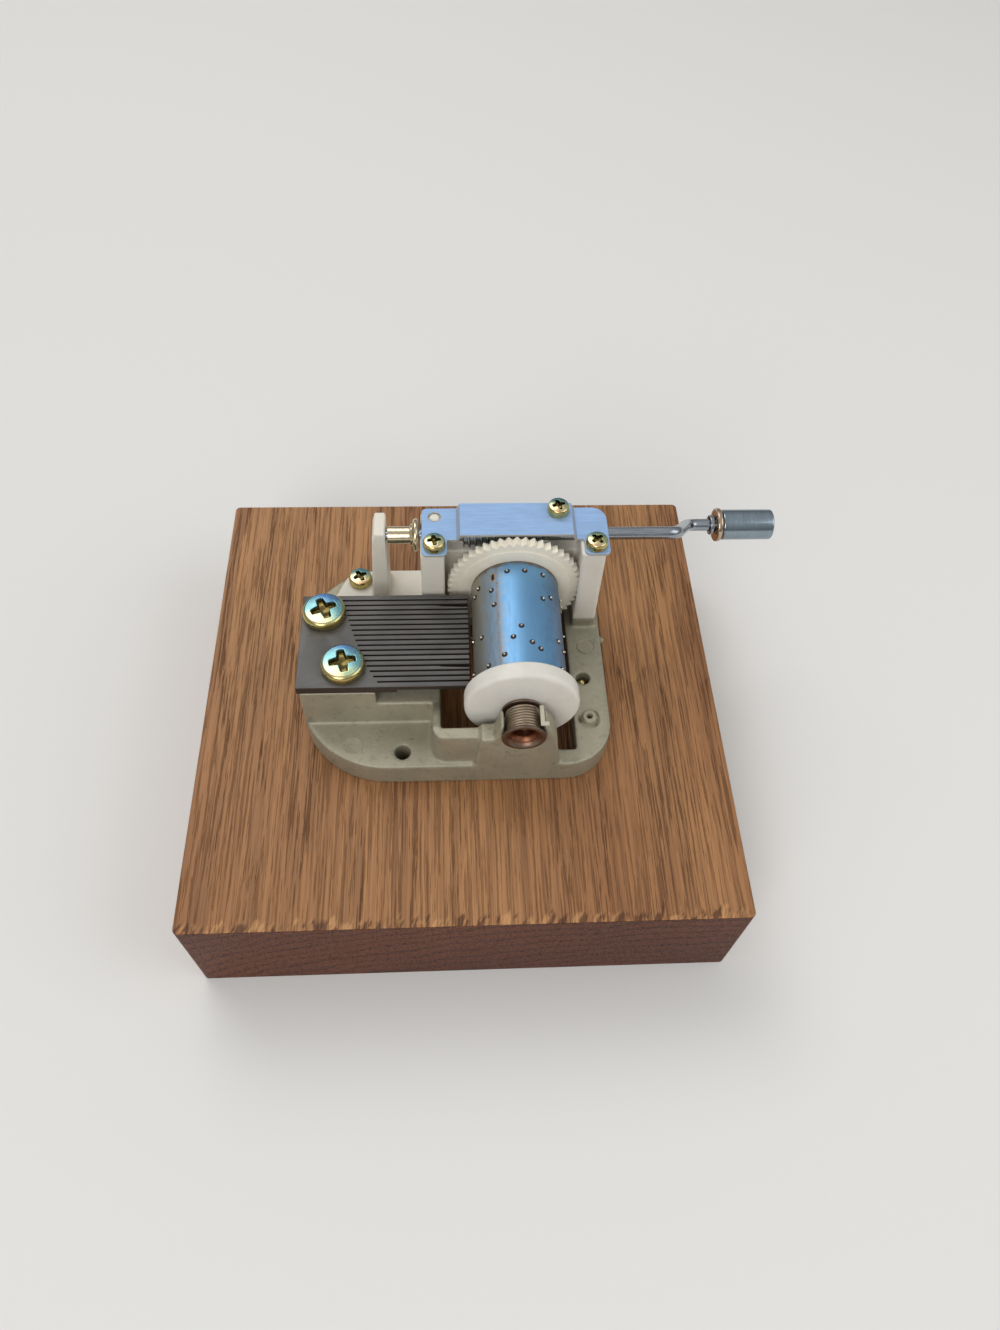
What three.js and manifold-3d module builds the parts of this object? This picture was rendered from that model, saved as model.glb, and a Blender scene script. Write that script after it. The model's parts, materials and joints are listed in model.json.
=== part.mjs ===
// A hand-cranked comb music movement on an oak block.
// Millimetres, +Z up. The origin is the middle of the block's underside; the crank lies along +X
// and the drum along Y, with its open end towards -Y. The movement's own heights start at the
// block's top.
import * as THREE from "three";
import { mergeGeometries, mergeVertices } from "three/addons/utils/BufferGeometryUtils.js";
import Module from "manifold-3d";

const wasm = await Module();
wasm.setup();

// Fits shared by all pieces
const runningGap = 0.3; // between a turning piece and what it turns in
const seatGap = 0.3; // round a screw or a pin in its hole
const sideGap = 0.4; // beside gear and posts
const overrun = 1; // how far a cut passes the surface it opens
const sink = 0.3; // how deep a joined rib or pin sinks into its carrier

// Oak block
const block = { width: 88, depth: 86, height: 22.3, edgeRadius: 0.9 };

// Pinned cylinder, its axis along Y, with a slit near its back end
const drum = { x: 8.85, z: 15, radius: 7.3, wall: 0.5, front: -11.25, length: 20.75 };
const pin = { radius: 0.24, height: 0.4, count: 48, tipShare: 0.7 };
const slit = { width: 0.5, length: 1.5, fromBack: 1.7, lean: 32.6 * THREE.MathUtils.DEG2RAD };

// The tune: how the pins wander along the comb and off the beat, in radians for each pin and in shares
const melody = { step: 1.7, sway: 2, swayStep: 0.37, reachShare: 0.48, beatStep: 2.1, beatShare: 0.35 };

// White end cap with a plug inside the cylinder
const cap = { radius: 9, thickness: 3, rimRadius: 0.9, rimShare: 0.3, plugDepth: 1.6 };

// White drum gear: saw-toothed rim, and face teeth on its back for the worm
const gear = { tipRadius: 11.3, toothDepth: 0.8, thickness: 1.8, plugDepth: 1.6, teeth: 50, crestShare: 0.5 };
const faceTooth = {
  radius: 8.1, length: 1.5, height: 0.9, baseWidth: 0.45, tipWidth: 0.2, stepHeight: 0.6, inset: 0.1,
};

// Steel arbor through the drum, the copper spool on its front end and the spring round it
const arbor = { radius: 1, frontRecess: 2.9 };
const spool = {
  wall: 0.8, ringRadius: 3.2, ringThickness: 0.4, lipRadius: 3.45, lipThickness: 0.45,
  mouthRadius: 2.45, mouthWall: 0.45, funnelDepth: 0.9, boreDepth: 2.6,
};
const spring = { wireRadius: 0.15, curls: 5, gap: 0.41, end: 0.26 };

// Crank wire, worm and the sleeve at the wire's far end
const wire = { radius: 1.05, spigotRadius: 0.75, bend: 1.5, tail: 7 };
const worm = { rootRadius: 1.66, crestRadius: 2.1, left: 8.6, right: 4.4, rootGap: 0.12 };
const wormThread = { baseShare: 0.44, tipShare: 0.2 };
const sleeve = { radius: 1.42, length: 4, flangeRadius: 2.7, flangeThickness: 1.05, edge: 0.3 };
const crank = { reach: 35.75, throw: 11, lean: 4.35, drop: 41 * THREE.MathUtils.DEG2RAD };
const knob = {
  radius: 2.65, length: 9, edge: 0.35, neckRadius: 2, neckLength: 0.2,
  flangeRadius: 2.95, flangeThickness: 0.9,
};
const collar = { radius: 1.75, thickness: 0.7, offset: 3.9 };

// Steel comb, its tooth roots measured from its clamped end
const comb = { length: 27.1, width: 18.1, front: -10.05, thickness: 1.6, rise: 0.55, tipGap: 0.25 };
const tooth = {
  count: 18, slotWidth: 0.3, thickness: 0.95, rearRoot: 6.5, frontRoot: 13.9, rootCurve: 1.6,
  reliefFromRoot: 1.7,
};
const wedge = { width: 0.35, length: 6, firstFromRearCount: 2, secondFromRearCount: 14 };
const weight = {
  count: 6, length: 3.2, shorterBy: 0.35, width: 0.6, height: 1.2, lowerBy: 0.12, inset: 0.6,
};

// Screws: head radius and height, shank radius and length
const combScrew = { headRadius: 3.5, headHeight: 1.9, shankRadius: 1.5, length: 8 };
const plateScrew = { headRadius: 1.8, headHeight: 1.6, shankRadius: 0.5, length: 5 };
const bracketScrew = { headRadius: 2, headHeight: 1.6, shankRadius: 0.6, length: 4.4 };
const baseScrew = { headRadius: 2.6, headHeight: 1.7, shankRadius: 0.9, length: 8.4, grip: 4.4 };
const headShares = { side: 0.68, shoulder: 0.85, shoulderRadius: 0.93, crownRadius: 0.6 };
const crossShares = { arm: 0.58, halfWidth: 0.2, depth: 0.6 };
const counterboreRadius = 3.4;
const combScrewPlaces = { rearInset: 3.7, rearFromBack: 3.8, frontInset: 7.2, frontFromFront: 3.95 };

// Zinc bedplate
const bed = { thickness: 5.2, overhang: 0.1, flangeOut: 0.9, rightMargin: 0.9, backMargin: 3.5 };
const bedCorner = { frontLeft: 15, frontRight: 8, backRight: 5, backLeft: 13 };
const gearWindow = { leftGap: 1.35, right: 9.35, back: 13 };
const seat = { frontSlant: 12.3, backSlant: 5.4, frontInset: 0.05, backInset: 0.1 };
const ledge = { drop: 3.25, depth: 3.6, end: 1.3 };
const rail = { width: 2, height: 12.8, corner: 2, setBack: 0.9 };
const saddle = {
  depth: 3.1, gap: 1.36, footLeft: 7.35, footRight: 6.05, shoulderLeft: 6.45, shoulderInner: 4.35,
  shoulderDrop: 1.5, notchGap: 0.3, horn: 0.5, hornRise: 2.2, rightShoulder: 4.55, rightRise: 0.4,
  waist: 5.35, waistDrop: 2, foot: 6.5,
};
const padHeight = 7.4;
const flangeHole = { fromLeft: 17.05, fromFront: 2.86, radius: 1.3 };
const boss = {
  fromRight: 3.45, fromFront: 8.5, footRadius: 1.35, topRadius: 1, height: 1.6, holeRadius: 0.5,
  ringRadius: 1.75, ringDepth: 0.8,
};
const rightScrew = { fromRight: 3.8, fromFront: 16.5 };
const leftScrew = { fromLeft: 7.6, fromFront: 18.1 };
const rearScrew = { fromRight: 20.2, fromBack: 4.5 };
const lug = { fromBack: 15.1, radius: 0.55, length: 0.9, rise: 3.6 };

// Nylon gear bracket
const post = { width: 3.85, rightWidth: 4, frontGap: 0.75, bite: 0.85, depth: 9.65, cornerRadius: 0.5 };
const bracket = { baseThickness: 1.8, wallFront: 0.55, wall: 2.2, wallDrop: 2.5, flangeFront: 0.85 };
const flange = {
  headGap: 0.2, slant: 1.9, slantRise: 4.4, cornerRun: 6.2, cornerRise: 5.9, screwInset: 4.3,
  screwFromBack: 2.3,
};
const finger = {
  thickness: 1.9, fromPost: 4.15, depth: 5, rise: 1.9, socketDepth: 1.2, stepDown: 1, stepOut: 0.25,
  footOut: 1.2,
};
const screwBoss = { fromRightPost: 3.45, halfWidth: 1.5, backOut: 0.1, wall: 0.2 };

// Steel top plate with its raised bridge
const plate = {
  thickness: 0.5, overWire: 0.35, overWorm: 0.4, tabFront: 0.25, tabWidth: 4.1, cornerRadius: 0.9,
  backCornerRadius: 2.5,
};
const bridge = { fromLeftPost: 2.6, fromRightPost: 1.25, ramp: 0.6, fromPostFront: 3 };
const plateEdge = { left: 0.2, right: 0.6, back: 0.3 };
const locator = { inset: 2.1, fromBack: 1.9, radius: 0.75 };
const tabScrew = { fromFront: 2, leftShift: 0.35, rightShift: 0.4 };

// Small stop strip by the wrap spring
const stop = { width: 0.65, thickness: 0.4, length: 3.5, footLength: 1.3, setBack: 0.1, overhang: 0.55 };

// How many flat faces stand for round stretches
const facetCount = {
  arc: 7, wire: 8, screw: 16, small: 14, round: 24, drum: 40, worm: 10, alongWire: 48, pin: 5,
};

// Places worked out from the sizes above
const combTop = drum.z + comb.rise;
const combUnderside = combTop - comb.thickness;
const combTip = drum.x - drum.radius - pin.height - comb.tipGap;
const combLeft = combTip - comb.length;
const combBack = comb.front + comb.width;
const toothUnderside = combTop - tooth.thickness;
const toothPitch = comb.width / tooth.count;
const drumBack = drum.front + drum.length;
const capFront = drum.front - cap.thickness;
const plugRadius = drum.radius - drum.wall - seatGap;
const gearBack = drumBack + gear.thickness;
const faceStepBack = gearBack + faceTooth.stepHeight;
const faceToothTips = faceStepBack + faceTooth.height;
const wormPitch = (2 * Math.PI * faceTooth.radius) / gear.teeth;
const shaft = { y: faceToothTips + worm.rootRadius + worm.rootGap, z: drum.z + faceTooth.radius };
const bedFront = capFront - saddle.gap - saddle.depth;
const saddleBack = bedFront + saddle.depth;
const lipBack = bedFront - runningGap;
const lipFront = lipBack - spool.lipThickness;
const seatLeft = combLeft + bed.overhang;
const bedLeft = combLeft - bed.flangeOut;
const postFront = drumBack - post.frontGap;
const postBack = postFront + post.depth;
const leftPostRight = drum.x - gear.tipRadius - sideGap;
const leftPostLeft = leftPostRight - post.width;
const rightPostLeft = drum.x + gear.tipRadius - post.bite;
const rightPostRight = rightPostLeft + post.rightWidth;
const bedRight = rightPostRight + bed.rightMargin;
const bedBack = postBack + bed.backMargin;
const plateUnder = shaft.z + wire.radius + plate.overWire;
const plateTop = plateUnder + plate.thickness;
const bridgeUnder = shaft.z + worm.crestRadius + plate.overWorm;
const bridgeTop = bridgeUnder + plate.thickness;
const plateLeft = leftPostLeft + plateEdge.left;
const plateRight = rightPostRight + plateEdge.right;
const plateBack = postBack + plateEdge.back;
const locatorPlace = { x: plateLeft + locator.inset, y: plateBack - locator.fromBack };
const baseTop = padHeight + bracket.baseThickness;
const arborBore = arbor.radius + seatGap;
const spoolBody = arborBore + spool.wall;
const springInner = spoolBody + runningGap;
const springRadius = springInner + spring.wireRadius;
const springPitch = 2 * spring.wireRadius + spring.gap;
const notch = springRadius + spring.wireRadius + saddle.notchGap;
const wallFront = faceToothTips + bracket.wallFront;
const sleeveRight = leftPostLeft - runningGap;
const sleeveLeft = sleeveRight - sleeve.flangeThickness - sleeve.length;
const fingerRight = sleeveLeft - runningGap;
const fingerLeft = fingerRight - finger.thickness;
const fingerFront = postFront + finger.fromPost;
const flangeScrewX = fingerLeft - finger.footOut - flange.headGap - bracketScrew.headRadius;
const flangeLeft = flangeScrewX - flange.screwInset;
const screwBossX = rightPostLeft - screwBoss.fromRightPost;
const screwBossFront = shaft.y + wire.radius + runningGap;
const rearPlateScrewY = screwBossFront + screwBoss.wall + plateScrew.shankRadius + seatGap;
const combScrews = [
  { x: combLeft + combScrewPlaces.rearInset, y: combBack - combScrewPlaces.rearFromBack },
  { x: combLeft + combScrewPlaces.frontInset, y: comb.front + combScrewPlaces.frontFromFront },
];
const blindHole = baseScrew.grip + seatGap;
const baseScrews = [
  { x: bedRight - rightScrew.fromRight, y: bedFront + rightScrew.fromFront, holeTop: bed.thickness + overrun },
  { x: bedLeft + leftScrew.fromLeft, y: bedFront + leftScrew.fromFront, holeTop: blindHole },
  { x: bedRight - rearScrew.fromRight, y: bedBack - rearScrew.fromBack, holeTop: blindHole },
];
const throwY = crank.throw * Math.cos(crank.drop);
const throwZ = -crank.throw * Math.sin(crank.drop);
const pinStart = crank.reach + crank.lean;
const collarLeft = pinStart + collar.offset;
const knobLeft = collarLeft + collar.thickness + runningGap;
const knobRight = knobLeft + knob.flangeThickness + knob.neckLength + knob.length;

// Finishes
function finish(color, roughness, metalness) {
  return new THREE.MeshStandardMaterial({ color, roughness, metalness });
}
const oak = finish(0x9c6a43, 0.55, 0);
const zinc = finish(0x97917c, 0.6, 0.6);
const toolSteel = finish(0x57544f, 0.45, 0.9);
const lead = finish(0x6b6b6e, 0.7, 0.7);
const brightZinc = finish(0xa9b4c2, 0.3, 0.95);
const yellowZinc = finish(0xb7a564, 0.3, 0.95);
const nylon = finish(0xe6e1d4, 0.45, 0);
const whiteNylon = finish(0xf0f0f2, 0.4, 0);
const copper = finish(0x8a5a40, 0.4, 0.9);
const springSteel = finish(0x7c7468, 0.4, 0.9);
const nickel = finish(0xb9b6ae, 0.2, 1);
const cream = finish(0xe4dfc8, 0.5, 0);

// Exact quarter turns that lay an outline or a turned profile along another axis
const xAxis = new THREE.Vector3(1, 0, 0);
const yAxis = new THREE.Vector3(0, 1, 0);
const zAxis = new THREE.Vector3(0, 0, 1);
const backwards = yAxis.clone().negate();
const outlineAlongY = new THREE.Matrix4().makeBasis(xAxis, zAxis, backwards);
const outlineAlongX = new THREE.Matrix4().makeBasis(yAxis, zAxis, xAxis);
const turnedAlongX = new THREE.Matrix4().makeBasis(backwards, xAxis, zAxis);
const turnedAlongZ = outlineAlongY;

/** Merges a geometry's shared corners and turns its faces outwards. */
function closed(geometry) {
  const bare = geometry.clone();
  bare.deleteAttribute("normal");
  bare.deleteAttribute("uv");
  const merged = mergeVertices(bare);
  const place = merged.attributes.position;
  const index = Array.from(merged.index.array);
  const [a, b, c] = [new THREE.Vector3(), new THREE.Vector3(), new THREE.Vector3()];
  const faces = [];
  let volume = 0;
  for (let i = 0; i < index.length; i += 3) {
    const face = index.slice(i, i + 3);
    if (new Set(face).size < 3) continue;
    a.fromBufferAttribute(place, face[0]);
    b.fromBufferAttribute(place, face[1]);
    c.fromBufferAttribute(place, face[2]);
    volume += a.dot(b.cross(c));
    faces.push(face);
  }
  merged.setIndex(faces.flatMap((face) => (volume < 0 ? face.reverse() : face)));
  return merged;
}

/** Turns a closed geometry into a solid that can be joined and cut. */
function solid(geometry) {
  const merged = closed(geometry);
  const vertProperties = Float32Array.from(merged.attributes.position.array);
  const triVerts = Uint32Array.from(merged.index.array);
  return new wasm.Manifold(new wasm.Mesh({ numProp: 3, vertProperties, triVerts }));
}

/** Gives a solid's surface back as a geometry. */
function surface(body) {
  const mesh = body.getMesh();
  const geometry = new THREE.BufferGeometry();
  geometry.setAttribute("position", new THREE.BufferAttribute(mesh.vertProperties, 3));
  geometry.setIndex(new THREE.BufferAttribute(mesh.triVerts, 1));
  geometry.computeVertexNormals();
  return geometry;
}

/** A closed outline through points [a, b]. */
function outline(points) {
  return new THREE.Shape(points.map(([a, b]) => new THREE.Vector2(a, b)));
}

/** A rectangle with its own radius at each corner, from front left and round. */
function roundedOutline(left, front, right, back, [frontLeft, frontRight, backRight, backLeft]) {
  const quarter = Math.PI / 2;
  const shape = new THREE.Shape();
  shape.moveTo(left + frontLeft, front);
  shape.lineTo(right - frontRight, front);
  shape.absarc(right - frontRight, front + frontRight, frontRight, -quarter, 0, false);
  shape.lineTo(right, back - backRight);
  shape.absarc(right - backRight, back - backRight, backRight, 0, quarter, false);
  shape.lineTo(left + backLeft, back);
  shape.absarc(left + backLeft, back - backLeft, backLeft, quarter, 2 * quarter, false);
  shape.lineTo(left, front + frontLeft);
  shape.absarc(left + frontLeft, front + frontLeft, frontLeft, 2 * quarter, 3 * quarter, false);
  return shape;
}

/** An outline in X and Y raised from one height to another. */
function slab(shape, low, high) {
  const geometry = new THREE.ExtrudeGeometry(shape, {
    depth: high - low, bevelEnabled: false, curveSegments: facetCount.arc,
  });
  return solid(geometry.translate(0, 0, low));
}

/** An outline in X and Z drawn out along Y. */
function alongY(shape, front, back) {
  const geometry = new THREE.ExtrudeGeometry(shape, {
    depth: back - front, bevelEnabled: false, curveSegments: facetCount.small,
  });
  return solid(geometry.applyMatrix4(outlineAlongY).translate(0, back, 0));
}

/** An outline in Y and Z drawn out along X. */
function alongX(shape, left, right) {
  const geometry = new THREE.ExtrudeGeometry(shape, {
    depth: right - left, bevelEnabled: false, curveSegments: facetCount.arc,
  });
  return solid(geometry.applyMatrix4(outlineAlongX).translate(left, 0, 0));
}

/** A plain brick between two corners. */
function brick([x0, x1], [y0, y1], [z0, z1]) {
  const geometry = new THREE.BoxGeometry(x1 - x0, y1 - y0, z1 - z0);
  return solid(geometry.translate((x0 + x1) / 2, (y0 + y1) / 2, (z0 + z1) / 2));
}

/** A profile of [radius, height] points turned about Y. */
function turned(profile, segments) {
  return new THREE.LatheGeometry(profile.map(([r, h]) => new THREE.Vector2(r, h)), segments);
}

/** A round rod along Z, for pins and for holes. */
function rod(radius, x, y, low, high, segments = facetCount.screw) {
  const profile = [[0, low], [radius, low], [radius, high], [0, high]];
  return solid(turned(profile, segments).applyMatrix4(turnedAlongZ).translate(x, y, 0));
}

/** A round rod along X round the crank's axis. */
function rodAlongX(radius, left, right, segments = facetCount.screw) {
  const profile = [[0, left], [radius, left], [radius, right], [0, right]];
  return solid(turned(profile, segments).applyMatrix4(turnedAlongX));
}

/** A pan-headed screw along Z, its seat at height zero, with a cross recess. */
function screwBody({ headRadius: head, headHeight: height, shankRadius: shank, length }) {
  const profile = [
    [0, -length], [shank, shank - length], [shank, 0], [head, 0], [head, height * headShares.side],
    [head * headShares.shoulderRadius, height * headShares.shoulder], [head * headShares.crownRadius, height],
    [0, height],
  ];
  const arm = head * crossShares.arm;
  const half = head * crossShares.halfWidth;
  const floor = height * (1 - crossShares.depth);
  const slotAlongX = brick([-arm, arm], [-half, half], [floor, height + overrun]);
  const slotAlongY = brick([-half, half], [-arm, arm], [floor, height + overrun]);
  const body = solid(turned(profile, facetCount.screw).applyMatrix4(turnedAlongZ));
  return body.subtract(slotAlongX.add(slotAlongY));
}

/** A screw with its head on top. */
function screw(sizes) {
  return surface(screwBody(sizes));
}

/** A screw driven upwards, its head underneath. */
function screwUpwards(sizes) {
  return surface(screwBody(sizes)).scale(1, -1, -1);
}

/** The oak block, with eased edges and a sunk hole for each screw from below. */
function blockGeometry() {
  const { width, depth, height, edgeRadius } = block;
  const shape = roundedOutline(-width / 2, -depth / 2, width / 2, depth / 2, Array(4).fill(edgeRadius));
  const sinking = height + baseScrew.grip - baseScrew.length;
  let body = slab(shape, 0, height);
  for (const { x, y } of baseScrews) {
    body = body.subtract(rod(counterboreRadius, x, y, -overrun, sinking));
    body = body.subtract(rod(baseScrew.shankRadius + seatGap, x, y, -overrun, height + overrun));
  }
  return surface(body);
}

/** The saddle's outline in X and Z: a notch between two horns for the spool. */
function saddleOutline() {
  const shape = new THREE.Shape();
  const shoulder = drum.z - saddle.shoulderDrop;
  const horns = drum.z + saddle.hornRise;
  shape.moveTo(drum.x - saddle.footLeft, 0);
  shape.lineTo(drum.x + saddle.footRight, 0);
  shape.lineTo(drum.x + saddle.footRight, saddle.foot);
  shape.lineTo(drum.x + saddle.waist, drum.z - saddle.waistDrop);
  shape.lineTo(drum.x + saddle.rightShoulder, drum.z + saddle.rightRise);
  shape.lineTo(drum.x + notch + saddle.horn, horns);
  shape.lineTo(drum.x + notch, horns);
  shape.lineTo(drum.x + notch, drum.z);
  shape.absarc(drum.x, drum.z, notch, 0, -Math.PI, true);
  shape.lineTo(drum.x - notch, horns);
  shape.lineTo(drum.x - notch - saddle.horn, horns);
  shape.lineTo(drum.x - saddle.shoulderInner, shoulder);
  shape.lineTo(drum.x - saddle.shoulderLeft, shoulder);
  shape.lineTo(drum.x - saddle.footLeft, saddle.foot);
  return shape;
}

/** The bracket's foot, and the pad under it: posts, left flange and rear bar in one outline. */
function footOutline() {
  const flangeFront = postFront + bracket.flangeFront;
  return outline([
    [flangeLeft, flangeFront],
    [leftPostLeft, flangeFront], [leftPostLeft, postFront],
    [leftPostRight, postFront], [leftPostRight, wallFront],
    [rightPostLeft, wallFront], [rightPostLeft, postFront],
    [rightPostRight, postFront], [rightPostRight, postBack],
    [leftPostLeft, postBack], [leftPostLeft, plateBack],
    [flangeLeft + flange.cornerRun, plateBack],
    [flangeLeft + flange.slant, plateBack - flange.cornerRise + flange.slantRise],
    [flangeLeft, plateBack - flange.cornerRise],
  ]);
}

/** The zinc casting: flange, comb seat, rail, saddle and the pads for the bracket. */
function bedplateGeometry() {
  const corners = [bedCorner.frontLeft, bedCorner.frontRight, bedCorner.backRight, bedCorner.backLeft];
  const bedOutline = roundedOutline(bedLeft, bedFront, bedRight, bedBack, corners);
  const seatFront = comb.front - seat.frontInset;
  const seatBack = combBack + seat.backInset;
  const seatOutline = outline([
    [bedLeft, seatFront], [combLeft + seat.frontSlant, seatFront],
    [combLeft + seat.backSlant, seatBack], [bedLeft, seatBack],
  ]);
  const seatRight = combLeft + seat.frontSlant + overrun;
  const seatDraft = outline([
    [bedLeft, 0], [seatRight, 0], [seatRight, combUnderside],
    [seatLeft, combUnderside], [bedLeft, bed.thickness],
  ]);
  const ledgeTop = combUnderside - ledge.drop;
  const windowLeft = drum.x - gear.tipRadius - gearWindow.leftGap;
  const ledgeLeft = combLeft + seat.frontSlant - overrun;
  const railFront = bedFront + rail.setBack;
  const railLeft = windowLeft - ledge.end;
  const railRight = drum.x - saddle.shoulderLeft + sink;
  const railBack = seatFront + ledge.depth;
  const rails = roundedOutline(railLeft, railFront, railRight, railBack, [rail.corner, 0, 0, 0]);
  const aboveRib = outline([
    [seatFront, ledgeTop], [railFront + rail.width, rail.height],
    [railFront + rail.width, combUnderside], [railBack + overrun, combUnderside],
    [railBack + overrun, ledgeTop],
  ]);
  let body = slab(bedOutline, 0, bed.thickness);
  const drafted = alongY(seatDraft, seatFront - overrun, seatBack + overrun);
  body = body.add(slab(seatOutline, 0, combUnderside).intersect(drafted));
  body = body.add(brick([ledgeLeft, windowLeft], [seatFront, railBack], [0, ledgeTop]));
  const overRibs = alongX(aboveRib, railLeft - overrun, railRight + overrun);
  body = body.add(slab(rails, 0, rail.height).subtract(overRibs));
  body = body.add(slab(footOutline(), 0, padHeight));
  body = body.intersect(slab(bedOutline, -overrun, combUnderside));
  const opening = brick(
    [windowLeft, drum.x + gearWindow.right], [saddleBack - sink, gearWindow.back],
    [-overrun, rail.height + overrun]);
  const railBehind = railFront + rail.width;
  const railOpening = brick(
    [windowLeft, drum.x - saddle.footLeft], [railBehind, saddleBack], [-overrun, combUnderside]);
  body = body.subtract(opening).subtract(railOpening);
  body = body.add(alongY(saddleOutline(), bedFront, saddleBack));
  const holeX = bedLeft + flangeHole.fromLeft;
  const holeY = bedFront + flangeHole.fromFront;
  body = body.subtract(rod(flangeHole.radius, holeX, holeY, -overrun, bed.thickness + overrun));
  const bossX = bedRight - boss.fromRight;
  const bossY = bedFront + boss.fromFront;
  const ringFloor = bed.thickness - boss.ringDepth;
  const bossTop = ringFloor + boss.height;
  const bossCone = turned([
    [0, ringFloor - sink], [boss.footRadius, ringFloor - sink], [boss.topRadius, bossTop], [0, bossTop],
  ], facetCount.small).applyMatrix4(turnedAlongZ).translate(bossX, bossY, 0);
  body = body.subtract(rod(boss.ringRadius, bossX, bossY, ringFloor, bed.thickness + overrun));
  body = body.add(solid(bossCone));
  body = body.subtract(rod(boss.holeRadius, bossX, bossY, -overrun, bossTop + overrun, facetCount.small));
  const lugRod = rodAlongX(lug.radius, bedRight - sink, bedRight + lug.length, facetCount.small);
  body = body.add(lugRod.translate(0, bedBack - lug.fromBack, lug.rise));
  for (const { x, y, holeTop } of baseScrews) {
    body = body.subtract(rod(baseScrew.shankRadius + seatGap, x, y, -overrun, holeTop));
  }
  for (const { x, y } of combScrews) {
    const floor = combTop - combScrew.length - seatGap;
    body = body.subtract(rod(combScrew.shankRadius + seatGap, x, y, floor, combUnderside + overrun));
  }
  const bracketFloor = baseTop - bracketScrew.length - seatGap;
  const bracketHole = bracketScrew.shankRadius + seatGap;
  body = body.subtract(rod(bracketHole, ...flangeScrew(), bracketFloor, padHeight + overrun));
  return surface(body);
}

/** Where the bracket's own screw stands on its left flange. */
function flangeScrew() {
  return [flangeScrewX, plateBack - flange.screwFromBack];
}

/** Where the slot beside tooth number i (0 at the front) ends, along X. */
function slotRoot(i) {
  const share = (i / (tooth.count - 1)) ** (1 / tooth.rootCurve);
  return combLeft + tooth.frontRoot + (tooth.rearRoot - tooth.frontRoot) * share;
}

/** The comb: one plate slotted into teeth, thinner under the teeth, with two wider tuned gaps. */
function combGeometry() {
  const plateBody = slab(outline([
    [combLeft, comb.front], [combTip, comb.front], [combTip, combBack], [combLeft, combBack],
  ]), combUnderside, combTop);
  const half = tooth.slotWidth / 2;
  const wedgeSlots = [tooth.count - wedge.firstFromRearCount, tooth.count - wedge.secondFromRearCount];
  const slots = [];
  for (let i = 1; i < tooth.count; i += 1) {
    const y = comb.front + i * toothPitch;
    const mouth = wedgeSlots.includes(i) ? half + wedge.width : half;
    const slotShape = outline([
      [slotRoot(i), y - half], [combTip - wedge.length, y - half],
      [combTip + overrun, y - mouth], [combTip + overrun, y + half], [slotRoot(i), y + half],
    ]);
    slots.push(new THREE.ExtrudeGeometry(slotShape, {
      depth: comb.thickness + 2 * overrun, bevelEnabled: false,
    }).translate(0, 0, combUnderside - overrun));
  }
  let body = plateBody.subtract(solid(mergeGeometries(slots)));
  body = body.subtract(brick(
    [combLeft + tooth.frontRoot + tooth.reliefFromRoot, combTip + overrun],
    [comb.front - overrun, combBack + overrun], [combUnderside - overrun, toothUnderside]));
  const hole = combScrew.shankRadius + seatGap;
  for (const { x, y } of combScrews) {
    body = body.subtract(rod(hole, x, y, combUnderside - overrun, combTop + overrun));
  }
  return surface(body);
}

/** The lead weight under tooth number i, counted from the comb's rear. */
function weightGeometry(i) {
  const y = combBack - (i + 1 / 2) * toothPitch;
  const right = combTip - weight.inset;
  const length = weight.length - i * weight.shorterBy;
  const depth = weight.height - i * weight.lowerBy;
  return surface(brick(
    [right - length, right], [y - weight.width / 2, y + weight.width / 2],
    [toothUnderside - depth, toothUnderside]));
}

/** Each pin's place in the tune: its turn round the drum and its track, the tooth that it plucks. */
function tune() {
  const { step, sway, swayStep, reachShare, beatStep, beatShare } = melody;
  return [...Array(pin.count).keys()].map((i) => {
    const share = 1 / 2 + reachShare * Math.sin(i * step + sway * Math.sin(i * swayStep));
    const beat = i + beatShare * Math.sin(i * beatStep);
    return [(2 * Math.PI * beat) / pin.count, Math.floor(tooth.count * share)];
  });
}

/** The thin cylinder with its slit and its pins, round the drum's axis. */
function cylinderGeometry() {
  const { radius, wall, front } = drum;
  const bore = radius - wall;
  const tube = solid(turned([
    [bore, front], [radius, front], [radius, drumBack], [bore, drumBack], [bore, front],
  ], facetCount.drum));
  const cut = new THREE.BoxGeometry(slit.width, slit.length, wall + 2 * overrun);
  cut.translate(0, drumBack - slit.fromBack - slit.length / 2, radius).rotateY(-slit.lean);
  const height = pin.height + wall / 2;
  const pins = tune().map(([angle, track]) => {
    const tip = pin.radius * pin.tipShare;
    const point = new THREE.CylinderGeometry(tip, pin.radius, height, facetCount.pin);
    point.translate(0, radius + pin.height - height / 2, 0).rotateZ(-Math.PI / 2);
    return point.rotateY(angle).translate(0, comb.front + (track + 1 / 2) * toothPitch, 0);
  });
  let body = tube.subtract(solid(cut));
  for (const point of pins) body = body.add(solid(point));
  return surface(body);
}

/** The end cap: a disc with a rounded rim and a plug, round the drum's axis. */
function capGeometry() {
  const { radius, rimRadius: rim } = cap;
  const ease = rim * cap.rimShare;
  const plugBack = drum.front + cap.plugDepth;
  return surface(solid(turned([
    [arborBore, capFront], [radius - rim, capFront], [radius - ease, capFront + ease],
    [radius, capFront + rim], [radius, drum.front - rim], [radius - ease, drum.front - ease],
    [radius - rim, drum.front], [plugRadius, drum.front], [plugRadius, plugBack], [arborBore, plugBack],
    [arborBore, capFront],
  ], facetCount.drum)));
}

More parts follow.
